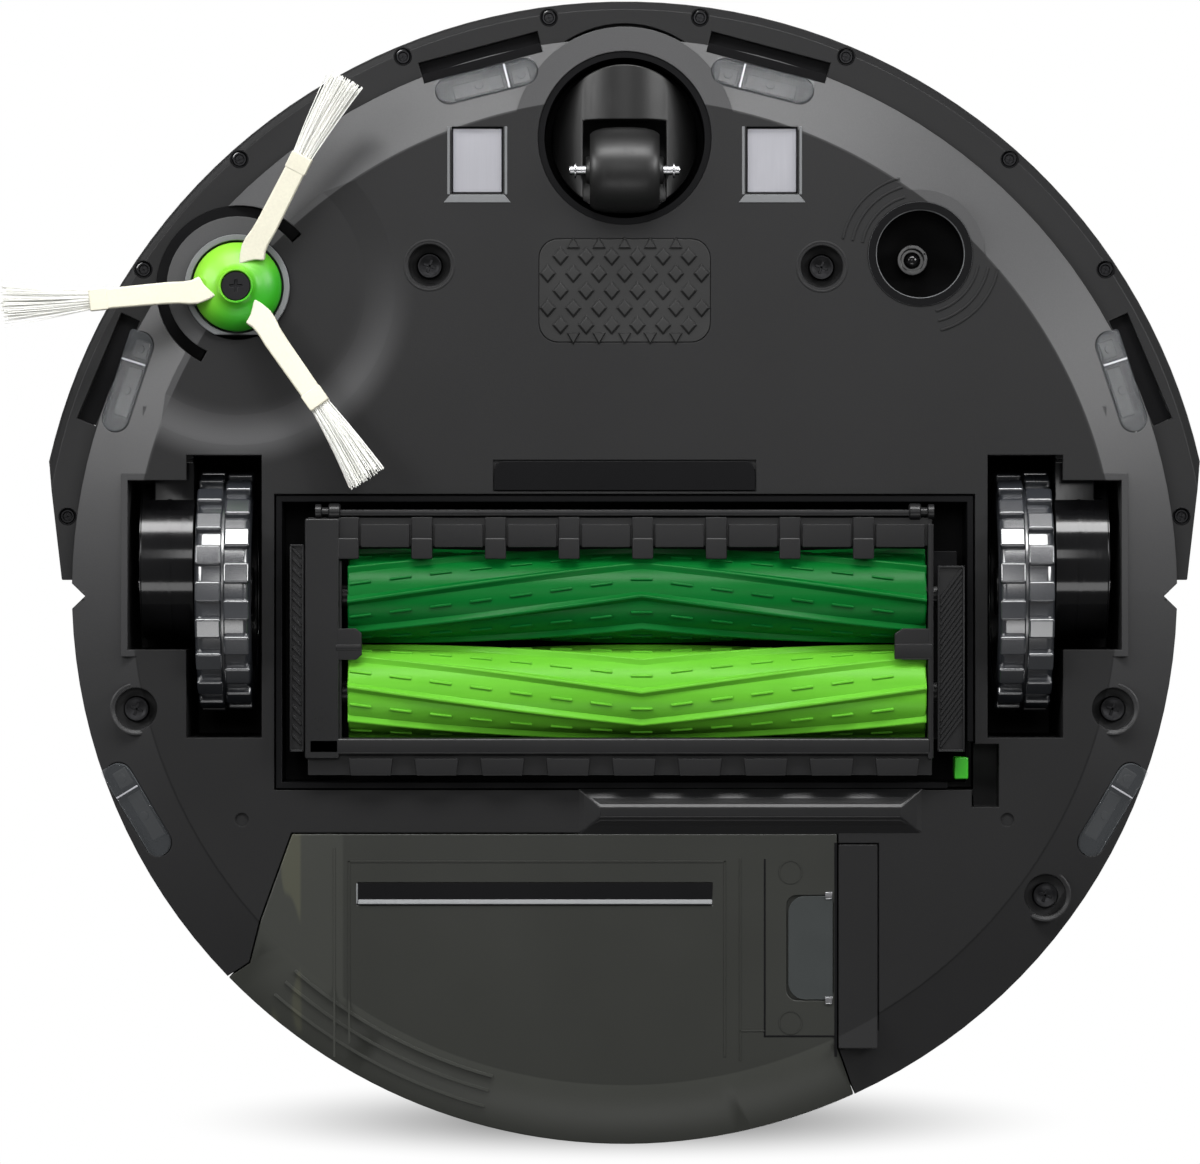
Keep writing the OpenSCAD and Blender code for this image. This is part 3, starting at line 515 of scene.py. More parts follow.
def turned(angle, axis):
    """A turn in degrees about an axis through the origin."""
    return Matrix.Rotation(math.radians(angle), 4, axis)


def mirrored():
    """A mirror across the robot's middle plane."""
    return Matrix.Scale(-1, 4, (1, 0, 0))


def ring_rise(radius):
    """How far the sloping ring has risen over the flat underside at a radius."""
    return max(0, radius - FLAT_RADIUS) * math.tan(math.radians(SLOPE))


def round_edges(bm, width, segments=2, angle=30, clamp=True, inside=True):
    """Rounds the edges that turn by more than an angle. Inside corners can be left as they are."""
    edges = [
        e for e in bm.edges
        if e.is_manifold and e.calc_face_angle(0) > math.radians(angle) and (inside or e.is_convex)
    ]
    bmesh.ops.bevel(
        bm, geom=edges, offset=width, offset_type="OFFSET", segments=segments, profile=0.5,
        affect="EDGES", clamp_overlap=clamp, material=-1,
    )
    return bm


def block(x0, x1, y0, y1, z0, z1, edge=0.3, segments=2):
    """A box between two corners, with rounded edges."""
    bm = bmesh.new()
    bmesh.ops.create_cube(bm, size=1)
    bmesh.ops.scale(bm, vec=(x1 - x0, y1 - y0, z1 - z0), verts=bm.verts)
    bmesh.ops.translate(bm, vec=((x0 + x1) / 2, (y0 + y1) / 2, (z0 + z1) / 2), verts=bm.verts)
    return round_edges(bm, edge, segments) if edge else bm


def disc(radius, z0, z1, edge=0.3, at=(0, 0), steps=48):
    """A round post with rounded rims."""
    bm = bmesh.new()
    bmesh.ops.create_cone(bm, cap_ends=True, segments=steps, radius1=radius, radius2=radius, depth=z1 - z0)
    bmesh.ops.translate(bm, vec=(at[0], at[1], (z0 + z1) / 2), verts=bm.verts)
    return round_edges(bm, edge, 2, 40) if edge else bm


def lathe(profile, steps=96, closed=True):
    """Spins a profile of (radius, height) points round the Z axis."""
    bm = bmesh.new()
    points = [bm.verts.new((r, 0, z)) for r, z in profile]
    pairs = list(zip(points, points[1:]))
    if closed:
        pairs.append((points[-1], points[0]))
    edges = [bm.edges.new(pair) for pair in pairs]
    bmesh.ops.spin(
        bm, geom=points + edges, cent=(0, 0, 0), axis=(0, 0, 1), angle=math.tau, steps=steps,
        use_merge=True,
    )
    bmesh.ops.remove_doubles(bm, verts=bm.verts, dist=0.0005)
    return bm


def raised(bm, height):
    """Makes a flat shape a closed solid of a height."""
    made = bmesh.ops.extrude_face_region(bm, geom=bm.faces[:], use_keep_orig=True)["geom"]
    tops = [v for v in made if isinstance(v, bmesh.types.BMVert)]
    bmesh.ops.translate(bm, vec=(0, 0, height), verts=tops)
    bmesh.ops.recalc_face_normals(bm, faces=bm.faces)
    return bm


def prism(outline, z0, z1, edge=0.3, segments=2):
    """An outline in plan, raised from one height to another."""
    bm = bmesh.new()
    bm.faces.new([bm.verts.new((x, y, z0)) for x, y in outline])
    raised(bm, z1 - z0)
    return round_edges(bm, edge, segments) if edge else bm


def rectangle(x0, x1, y0, y1):
    """The corners of a rectangle, in order."""
    return [(x0, y0), (x1, y0), (x1, y1), (x0, y1)]


def arc(radius, start, end, steps, centre=(0, 0)):
    """Points on an arc, with its angles in degrees."""
    return [
        (centre[0] + radius * math.cos(a), centre[1] + radius * math.sin(a))
        for a in (math.radians(start + (end - start) * k / steps) for k in range(steps + 1))
    ]


def slab_outline(w, d, r):
    """A rectangle with round corners, about the origin."""
    x, y = w / 2 - r, d / 2 - r
    corners = [((x, y), 0), ((-x, y), 90), ((-x, -y), 180), ((x, -y), 270)]
    return [p for centre, start in corners for p in arc(r, start, start + 90, 8, centre)]


def curved_bar(r_in, r_out, start, end, z0, z1, edge=0.15, steps=24, centre=(0, 0)):
    """A bar that follows an arc about a centre."""
    outline = arc(r_in, start, end, steps, centre) + arc(r_out, end, start, steps, centre)
    return prism(outline, z0, z1, edge)


def rim(outline, width, z0, z1):
    """A narrow border that runs just inside an outline."""
    bm = bmesh.new()
    face = bm.faces.new([bm.verts.new((x, y, z0)) for x, y in outline])
    bmesh.ops.inset_region(bm, faces=[face], thickness=width, use_even_offset=True)
    bmesh.ops.delete(bm, geom=[face], context="FACES")
    return raised(bm, z1 - z0)


def moved(bm, place):
    """Moves or turns a whole shape."""
    bmesh.ops.transform(bm, matrix=place, verts=bm.verts)
    return bm


def mesh_of(name, bm):
    """A mesh with the faces of a shape, which is used up."""
    mesh = bpy.data.meshes.new(name)
    bm.to_mesh(mesh)
    bm.free()
    return mesh


def new_object(name, data):
    """An object in the scene that shows a mesh, a light or a camera."""
    obj = bpy.data.objects.new(name, data)
    bpy.context.scene.collection.objects.link(obj)
    return obj


def add(bm, part, *places):
    """Adds a small shape to a piece, once at each place, or where it is."""
    mesh = bpy.data.meshes.new("part")
    part.to_mesh(mesh)
    for place in places or (Matrix(),):
        mesh.transform(place)
        bm.from_mesh(mesh)
        mesh.transform(place.inverted())
    bpy.data.meshes.remove(mesh)
    return bm


def joined(*parts):
    """Several small shapes as one piece."""
    bm = bmesh.new()
    for part in parts:
        add(bm, part)
        part.free()
    return bm


def piece(name, bm, body, slot, *nodes, smooth=40, weld=True):
    """Turns a shape in millimetres into a finished piece that rides on a body and may stand for nodes."""
    if weld:
        bmesh.ops.remove_doubles(bm, verts=bm.verts, dist=0.0002)
        bmesh.ops.recalc_face_normals(bm, faces=bm.faces)
    bmesh.ops.scale(bm, vec=(MM, MM, MM), verts=bm.verts)
    mesh = mesh_of(name, bm)
    mesh.shade_smooth()
    mesh.set_sharp_from_angle(angle=math.radians(smooth))
    mesh.materials.append(finish_for(slot))
    obj = new_object(name, mesh)
    obj.modifiers.new("flat_faces", "WEIGHTED_NORMAL").keep_sharp = True
    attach(obj, body)
    if nodes:
        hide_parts(*nodes)
    return obj


def rounded_node(node, width, slot=None):
    """A copy of a carried-over node with its outside edges rounded."""
    bm = bmesh.new()
    bm.from_mesh(frame["nodes"][node].data)
    bmesh.ops.scale(bm, vec=(1 / MM, 1 / MM, 1 / MM), verts=bm.verts)
    bmesh.ops.remove_doubles(bm, verts=bm.verts, dist=0.002)
    bmesh.ops.dissolve_limit(
        bm, angle_limit=math.radians(0.6), verts=bm.verts, edges=bm.edges, use_dissolve_boundaries=False,
    )
    round_edges(bm, width, clamp=False, inside=False)
    return piece(f"{node}_moulding", bm, NODE_BODIES[node], slot or NODE_SLOTS[node], node, weld=False)


class RobotOperator(bpy.types.Operator):
    """Base of the modelling steps."""

    bl_options = {"REGISTER", "UNDO"}


class ROBOT_OT_finishes(RobotOperator):
    """Gives every carried-over part the finish of its slot"""

    bl_idname = "robot.finishes"
    bl_label = "Finish carried-over parts"

    def execute(self, context):
        for name, obj in frame["nodes"].items():
            obj.data.materials.clear()
            obj.data.materials.append(finish_for(NODE_SLOTS[name]))
        return {"FINISHED"}


class ROBOT_OT_stage(RobotOperator):
    """Sets up the camera, the one-sided floor, the pale room and the lights"""

    bl_idname = "robot.stage"
    bl_label = "Stage, camera and lights"

    def light(self, name, power, size, at, aim_height=0.02):
        """A soft rectangular light, aimed at a height over the middle of the floor."""
        data = bpy.data.lights.new(name, "AREA")
        data.shape, data.size, data.size_y = "RECTANGLE", *size
        data.energy = power
        obj = new_object(name, data)
        obj.location = at
        obj.rotation_euler = (Vector((0, 0, aim_height)) - Vector(at)).to_track_quat("-Z", "Y").to_euler()
        obj.visible_camera = False

    def camera(self, context, settings):
        """A long lens that looks straight up at the underside, with the front at the top."""
        data = bpy.data.cameras.new("camera")
        data.lens = data.sensor_width * (settings.distance + BELLY * MM) / settings.field
        data.clip_end = 20
        obj = new_object("camera", data)
        obj.location = (-0.0073, -0.0028, -settings.distance)
        obj.rotation_euler = (math.pi, 0, 0)
        context.scene.camera = obj

    def one_sided(self, name, f, half, place=Matrix()):
        """A flat sheet with a finish on its front. Its back is seen through, and it stops no light."""
        bm = bmesh.new()
        bmesh.ops.create_grid(bm, x_segments=1, y_segments=1, size=half, matrix=place)
        mesh = mesh_of(name, bm)
        behind = f.node("ShaderNodeNewGeometry", {}, {}, "Backfacing")
        nothing = f.node("ShaderNodeBsdfTransparent", {}, {})
        seen = f.node("ShaderNodeMixShader", {}, {0: behind, 2: nothing})
        f.tree.links.new(f.shader.outputs[0], seen.socket.node.inputs[1])
        f.tree.links.new(seen.socket, f.tree.nodes["Material Output"].inputs["Surface"])
        mesh.materials.append(f.material)
        obj = new_object(name, mesh)
        obj.visible_shadow = obj.visible_diffuse = obj.visible_glossy = obj.visible_transmission = False

    def floor(self, settings):
        """A pale floor that is seen from above only, so that the underside shows from below."""
        f = Finish("floor", {"Roughness": 0.6, "Emission Color": (1, 1, 1, 1), "Emission Strength": 0.22})
        f.set("Base Color", f.shade(tuple(settings.floor_colour), 0.97 + f.noise(9, 3) * 0.06))
        self.one_sided("floor", f, 8)

    def backdrop(self):
        """White paper over the robot, with a soft shadow painted on it. It is seen from below only."""
        f = Finish("backdrop", {
            "Base Color": (0, 0, 0, 1), "Roughness": 1.0, "Specular IOR Level": 0.0, "Emission Strength": 1.0,
        })
        x, y, _ = f.axes()
        # painted shadow: a soft dark ellipse under the robot's rear edge
        reach = ((x / 0.145) ** 2 + ((y - 0.166) / 0.014) ** 2) ** 0.5
        dark = (1 - reach.above(0.55, 0.45)) * (0.9 + f.noise(30, 2) * 0.1)
        f.set("Emission Color", f.mix((1, 1, 1), (0.22, 0.22, 0.22), dark))
        self.one_sided("backdrop", f, 0.6, shift(0, 0, 0.13) @ turned(180, "X"))

    def room(self, context):
        """White where the camera sees it, dimmer as a light."""
        world = bpy.data.worlds.new("room")
        world.use_nodes = True
        tree = world.node_tree
        ground = tree.nodes["Background"]
        path = tree.nodes.new("ShaderNodeLightPath")
        strength = tree.nodes.new("ShaderNodeMapRange")
        strength.inputs["To Min"].default_value = 0.1
        strength.inputs["To Max"].default_value = 1.0
        tree.links.new(path.outputs["Is Camera Ray"], strength.inputs["Value"])
        tree.links.new(strength.outputs[0], ground.inputs["Strength"])
        ground.inputs["Color"].default_value = (1, 1, 1, 1)
        context.scene.world = world

    def execute(self, context):
        settings = context.scene.robot_stage
        self.camera(context, settings)
        self.floor(settings)
        self.backdrop()
        self.room(context)
        context.scene.view_settings.view_transform = "Standard"
        power = settings.fill_power
        self.light("front_below", settings.key_power, (1.5, 0.45), (0, -1.3, -0.98))
        self.light("left_below", power, (0.5, 0.9), (-1.25, -0.55, -0.95))
        self.light("right_below", power, (0.5, 0.9), (1.25, -0.55, -0.95))
        self.light("near_camera", power * 0.16, (0.5, 0.4), (0, -0.36, -1.85))
        self.light("front_card", power * 0.4, (2.0, 0.9), (0, -1.5, -0.5))
        self.light("rear_below", power * 0.25, (1.0, 0.4), (0, 1.1, -1.4))
        self.light("above", 45, (1.4, 1.4), (-0.7, -0.8, 1.8), 0.05)
        self.light("above_rear", 26, (1.4, 0.8), (0.9, 1.2, 1.3), 0.05)
        return {"FINISHED"}


WHEEL_SIDES = {"left": Matrix(), "right": mirrored()}
UP_TO_SIDE = Matrix.Rotation(math.radians(90), 4, "Y")


class ROBOT_OT_tyres(RobotOperator):
    """Drive wheel tyres with two staggered rows of rounded lugs"""

    bl_idname = "robot.tyres"
    bl_label = "Tyres"

    lug_rise = 2.0
    lug_share = 0.55  # of the pitch from lug to lug
    wall = 8.0

    def carcass(self, radius, half):
        """The ring under the lugs, with round shoulders and a shallow middle groove."""
        bore, base = radius - self.wall, radius - self.lug_rise
        side = [(bore, half - 0.5), (bore + 0.7, half), (base - 3, half), (base - 1.1, half - 0.5),
                (base - 0.2, half - 1.5), (base, half - 2.6), (base, 0.7), (base - 0.5, 0.3)]
        profile = side + [(r, -x) for r, x in reversed(side)]
        return lathe(profile, 120)

    def execute(self, context):
        count = sizes().lugs
        low, high = span("left_tyre")
        centre, radius, half = middle("left_tyre"), (high.z - low.z) / 2, (high.x - low.x) / 2
        pitch = 360 / count
        half_lug = math.radians(pitch) * radius * self.lug_share / 2
        lug = block(radius - 3, radius - 0.12, -half_lug, half_lug, 0.35, half - 0.25, 0.75, 3)
        wheel = bmesh.new()
        add(wheel, self.carcass(radius, half))
        for k in range(count):
            add(wheel, lug, turned(k * pitch, "Z"))
            add(wheel, lug, turned((k + 0.5) * pitch, "Z") @ turned(180, "X"))
        moved(wheel, shift(*centre) @ UP_TO_SIDE)
        for side, flip in WHEEL_SIDES.items():
            tyre = add(bmesh.new(), wheel, flip)
            piece(f"{side}_tyre_tread", tyre, f"{side}_wheel", "tyre_rubber", f"{side}_tyre")
            rounded_node(f"{side}_rim", 0.4)
        return {"FINISHED"}


class ROBOT_OT_gearboxes(RobotOperator):
    """Gearbox drums beside the drive wheels, with seams, ribs and cover screws"""

    bl_idname = "robot.gearboxes"
    bl_label = "Wheel gearboxes"

    seam_x = 134.9
    face_x = 143.8  # outer face of the drum
    rib_turn = 45
    screw_turn = 90

    def execute(self, context):
        low, high = span("left_arm")
        drum_r, x = (high.z - low.z) / 2, self.face_x
        centre = Vector((0, middle("left_motor").y + 7, high.z - drum_r))
        seam = lathe(rectangle(drum_r - 1, drum_r + 0.25, self.seam_x, self.seam_x + 1.1))
        lip = lathe(rectangle(drum_r - 2.4, drum_r - 0.2, x - 1.2, x + 0.3))
        hub = lathe([(0, x), (6.2, x), (6.8, x + 0.6), (5.6, x + 1.1), (0, x + 1.1)], 64, closed=False)
        face = joined(seam, lip, hub)
        rib = block(7, drum_r - 2, -0.6, 0.6, x, x + 0.6, 0.2)
        add(face, rib, *(turned(a, "Z") for a in range(0, 360, self.rib_turn)))
        screw = disc(1.9, x + 0.1, x + 1.1, 0.3, (drum_r - 5, 0), 24)
        add(face, screw, *(turned(a + self.rib_turn / 2, "Z") for a in range(0, 360, self.screw_turn)))
        moved(face, shift(*centre) @ UP_TO_SIDE)
        for side, flip in WHEEL_SIDES.items():
            trim = add(bmesh.new(), face, flip)
            piece(f"{side}_gearbox_trim", trim, f"{side}_suspension", "gloss_black")
            rounded_node(f"{side}_arm", 0.5)
        return {"FINISHED"}


class ROBOT_OT_caster(RobotOperator):
    """Swivel caster: fork, crowned wheel, axle ends and their clips"""

    bl_idname = "robot.caster"
    bl_label = "Caster"

    def execute(self, context):
        low, high = span("caster_wheel")
        centre, radius, half = middle("caster_wheel"), (high.z - low.z) / 2, (high.x - low.x) / 2
        tread = half - 1.2
        side = [(1.6, half), (3.6, half), (4.0, half - 0.4), (4.2, tread - 0.1), (radius - 3.4, tread - 0.3),
                (radius - 3, tread), (radius - 2.2, tread), (radius - 1.5, tread - 0.7),
                (radius - 0.9, tread - 1.9), (radius - 0.35, tread - 4.2), (radius - 0.05, 2)]
        wheel = lathe(side + [(r, -x) for r, x in reversed(side)], 120)
        moved(wheel, shift(*centre) @ UP_TO_SIDE)
        piece("caster_wheel_crowned", wheel, "caster_roll", "caster_roller", "caster_wheel")
        rounded_node("caster_fork", 0.45, slot="caster_roller")
        end = span("caster_axle")[1].x
        side = [(1.5, end - 0.4), (1.2, end), (0, end)]
        pin = lathe([(r, -x) for r, x in reversed(side)] + side, 32, closed=False)
        place = shift(0, centre.y, centre.z) @ UP_TO_SIDE
        moved(pin, place)
        piece("caster_axle_pin", pin, "caster_swivel", "steel", "caster_axle")
        clip = curved_bar(1.7, 2.4, -150, 150, 14.3, 14.9, 0.1, 20)
        clips = add(bmesh.new(), clip, place, place @ turned(180, "X"))
        piece("caster_axle_clips", clips, "caster_swivel", "steel")
        return {"FINISHED"}


class ROBOT_OT_side_brush(RobotOperator):
    """Three-armed side brush: glossy hub, moulded arms, tufts and the collar round it"""

    bl_idname = "robot.side_brush"
    bl_label = "Side brush"

    arm_angles = (-62.7, 54.7, 174.2)
    arm_tilt = 7.4
    arm_z = 9.6
    arm_end = 43.4

    def place(self, angle):
        """Where an arm stands: its foot on the hub, its tip close over the floor."""
        centre = middle("brush_screw")
        foot = shift(centre.x, centre.y, self.arm_z)
        return foot @ turned(angle, "Z") @ turned(self.arm_tilt, "Y")

    def hub(self):
        """A bell-shaped hub with a raised lip round its screw."""
        low, high = span("brush_hub")
        rim = (high.x - low.x) / 2
        profile = [(0, 7.6), (4.3, 7.6), (4.45, 7.3), (4.45, 5.3), (4.7, 5.02), (5.0, 5.05), (5.3, 5.5),
                   (5.8, 6.3), (6.8, 6.95), (8.2, 7.4), (9.8, 8.1), (11.2, 9.1), (12.4, 10.4),
                   (rim - 0.1, 11.9), (rim, 12.9), (rim - 0.9, 13.3), (rim - 0.9, 21.6),
                   (4.0, 21.6), (4.0, high.z), (0, high.z)]
        return lathe(profile, 128, closed=False)

    def arm(self):
        """One arm: a barbed root on the hub, a slim blade and the cuff that clamps its tuft."""
        outline = [(6.2, -2.2), (9, -3.3), (12, -4.1), (14.5, -4.0), (17.5, -3.5), (22, -3.25),
                   (self.arm_end, -2.95), (self.arm_end, 3.0), (20, 3.15), (15.5, 2.9), (13.1, 3.1),
                   (10.8, 4.0), (9.7, 1.5), (8.2, -0.3)]
        blade = prism(outline, -1.9, 1.3, 0.6, 3)
        cuff = block(self.arm_end - 5, self.arm_end + 0.4, -3.25, 3.3, -2.1, 1.5, 0.5)
        return joined(blade, cuff)

    def strand(self, length, radius):
        """One bristle along X, thin, a little bent, with a cut end."""
        bm = bmesh.new()
        ring = bmesh.ops.create_circle(bm, segments=4, radius=radius)["verts"]
        bmesh.ops.transform(bm, matrix=UP_TO_SIDE, verts=ring)
        edges, steps = list(bm.edges), 5
        for k in range(steps):
            made = bmesh.ops.extrude_edge_only(bm, edges=edges)["geom"]
            edges = [e for e in made if isinstance(e, bmesh.types.BMEdge)]
            verts = [v for v in made if isinstance(v, bmesh.types.BMVert)]
            bend = 0.05 * length * ((k + 1) ** 2 - k**2) / steps**2
            bmesh.ops.translate(bm, vec=(length / steps, bend, 0), verts=verts)
        bmesh.ops.holes_fill(bm, edges=bm.edges, sides=4)
        bmesh.ops.recalc_face_normals(bm, faces=bm.faces)
        return bm

    def execute(self, context):
        centre = middle("brush_screw")
        hub = self.hub()
        moved(hub, shift(centre.x, centre.y))
        piece("side_brush_hub", hub, "side_brush", "lime_plastic", "brush_hub")
        arms = add(bmesh.new(), self.arm(), *(self.place(angle) for angle in self.arm_angles))
        piece("side_brush_arms", arms, "side_brush", "cream_plastic", "brush_arms")
        rounded_node("brush_screw", 0.12)
        side = math.radians(self.arm_angles[-1])
        reach = (span("brush_bristles")[0].x - centre.x) / math.cos(side)
        draw = random.Random(7)
        radius = sizes().bristle_radius / MM
        tufts = bmesh.new()
        root = self.arm_end - 3.5
        lift = turned(-2.2, "Y")
        strands = [self.strand((reach - root) * share, radius) for share in (1.0, 0.975, 0.94)]
        for angle in self.arm_angles:
            places = [[] for _ in strands]
            for _ in range(sizes().bristles):
                around, out = draw.uniform(0, math.tau), math.sqrt(draw.random())
                y, z = 2.5 * out * math.cos(around), 1.2 * out * math.sin(around)
                fan = turned(y * 2.6 + draw.gauss(0, 0.9), "Z") @ turned(draw.gauss(0, 0.7) - z * 0.6, "Y")
                twist = turned(draw.uniform(-60, 60), "X")
                place = self.place(angle) @ shift(root, y, z) @ lift @ fan @ twist
                draw.choice(places).append(place)
            for strand, spots in zip(strands, places):
                add(tufts, strand, *spots)
        piece("side_brush_tufts", tufts, "side_brush", "bristle", "brush_bristles", weld=False)
        rounded_node("brush_collar", 0.3)
        # painted shade: thin black sheets on the recess ceiling round the side brush and behind the bumper's
        # opening beside it
        ledge = BELLY + LEDGE
        channel = curved_bar(21.1, 24.5, 118, 318, ledge - 0.3, ledge, 0.05, 60, (centre.x, centre.y))
        piece("brush_shade_channel", channel, "chassis", "deep_black")
        behind = curved_bar(20, 24.4, 168, 268, SIGHT_Z, SIGHT_Z + 0.5, 0.05, 40, (centre.x, centre.y))
        piece("brush_shade_back", behind, "bumper", "deep_black")
        return {"FINISHED"}


class ROBOT_OT_rollers(RobotOperator):
    """Twin rubber rollers with chevron ridges and rows of short ribs"""

    bl_idname = "robot.rollers"
    bl_label = "Rollers"

    lead = 0.6  # degrees of turn for each millimetre along the roller
    apex = 5.0
    bore = 10.1

    def ridge(self, radius, base, start, end, turn):
        """One ridge from an end of the roller to the apex, as a helical sweep."""
        bm = bmesh.new()
        shape = [(-1.9, base - 0.6), (-1.0, base + 0.25), (-0.5, radius - 0.35), (-0.25, radius - 0.1),
                 (0.25, radius - 0.1), (0.5, radius - 0.35), (1.0, base + 0.25), (1.9, base - 0.6)]
        points = [bm.verts.new((start, y, -z)) for y, z in shape]
        edges = [bm.edges.new(pair) for pair in zip(points, points[1:] + points[:1])]
        steps = 22
        bmesh.ops.spin(
            bm, geom=points + edges, cent=(0, 0, 0), axis=(1, 0, 0), angle=math.radians(turn),
            steps=steps, dvec=((end - start) / steps, 0, 0),
        )
        return bm

    def rib(self, base, length):
        """A short rib that lies on the roller's lowest line."""
        return block(-length / 2, length / 2, -0.42, 0.42, -base - 0.5, -base + 0.6, 0.2, 1)

    def build(self, node, core, body, slot, way):
        """One roller. Its chevrons point one way or the other."""
        low, high = span(node)
        centre, radius = middle(node), (high.z - low.z) / 2
        base = radius - sizes().ridge_height / MM
        profile = [(self.bore, low.x), (base - 0.5, low.x), (base, low.x + 0.5), (base, high.x - 0.5),
                   (base - 0.5, high.x), (self.bore, high.x)]
        bm = lathe(profile, 128)
        moved(bm, UP_TO_SIDE)
        pitch = 360 / sizes().ridges
        left = self.ridge(radius, base, low.x, self.apex, way * self.lead * (low.x - self.apex))
        right = self.ridge(radius, base, high.x, self.apex, way * self.lead * (self.apex - high.x))
        pair = bmesh.new()
        add(pair, left, turned(-way * self.lead * (low.x - self.apex), "X"))
        add(pair, right, turned(-way * self.lead * (self.apex - high.x), "X"))
        bmesh.ops.remove_doubles(pair, verts=pair.verts, dist=0.02)
        bmesh.ops.holes_fill(pair, edges=pair.edges, sides=0)
        add(bm, pair, *(turned(k * pitch, "X") for k in range(sizes().ridges)))
        count, length = sizes().dashes, 6.5
        step = (high.x - low.x) / (count + 0.4)
        slope = math.degrees(math.atan(math.radians(self.lead) * base))
        rib = self.rib(base, length)
        for row in range(sizes().ridges):
            for k in range(-(count // 2), count // 2 + 1):
                x = self.apex + k * step
                if low.x + length / 2 < x < high.x - length / 2:
                    lean = way * slope * (k > 0) - way * slope * (k < 0)
                    spot = turned((row + 0.5) * pitch + way * self.lead * abs(x - self.apex), "X")
                    add(bm, rib, spot @ shift(x, 0) @ turned(lean, "Z"))
        moved(bm, shift(0, centre.y, centre.z))
        piece(f"{node}_rubber", bm, body, slot, node, smooth=50)
        rounded_node(core, 0.4)

    def execute(self, context):
        self.build("front_roller", "front_roller_core", "front_sweeper", "green_rubber_dark", 1)
        self.build("rear_roller", "rear_roller_core", "rear_sweeper", "green_rubber_lime", -1)
        return {"FINISHED"}


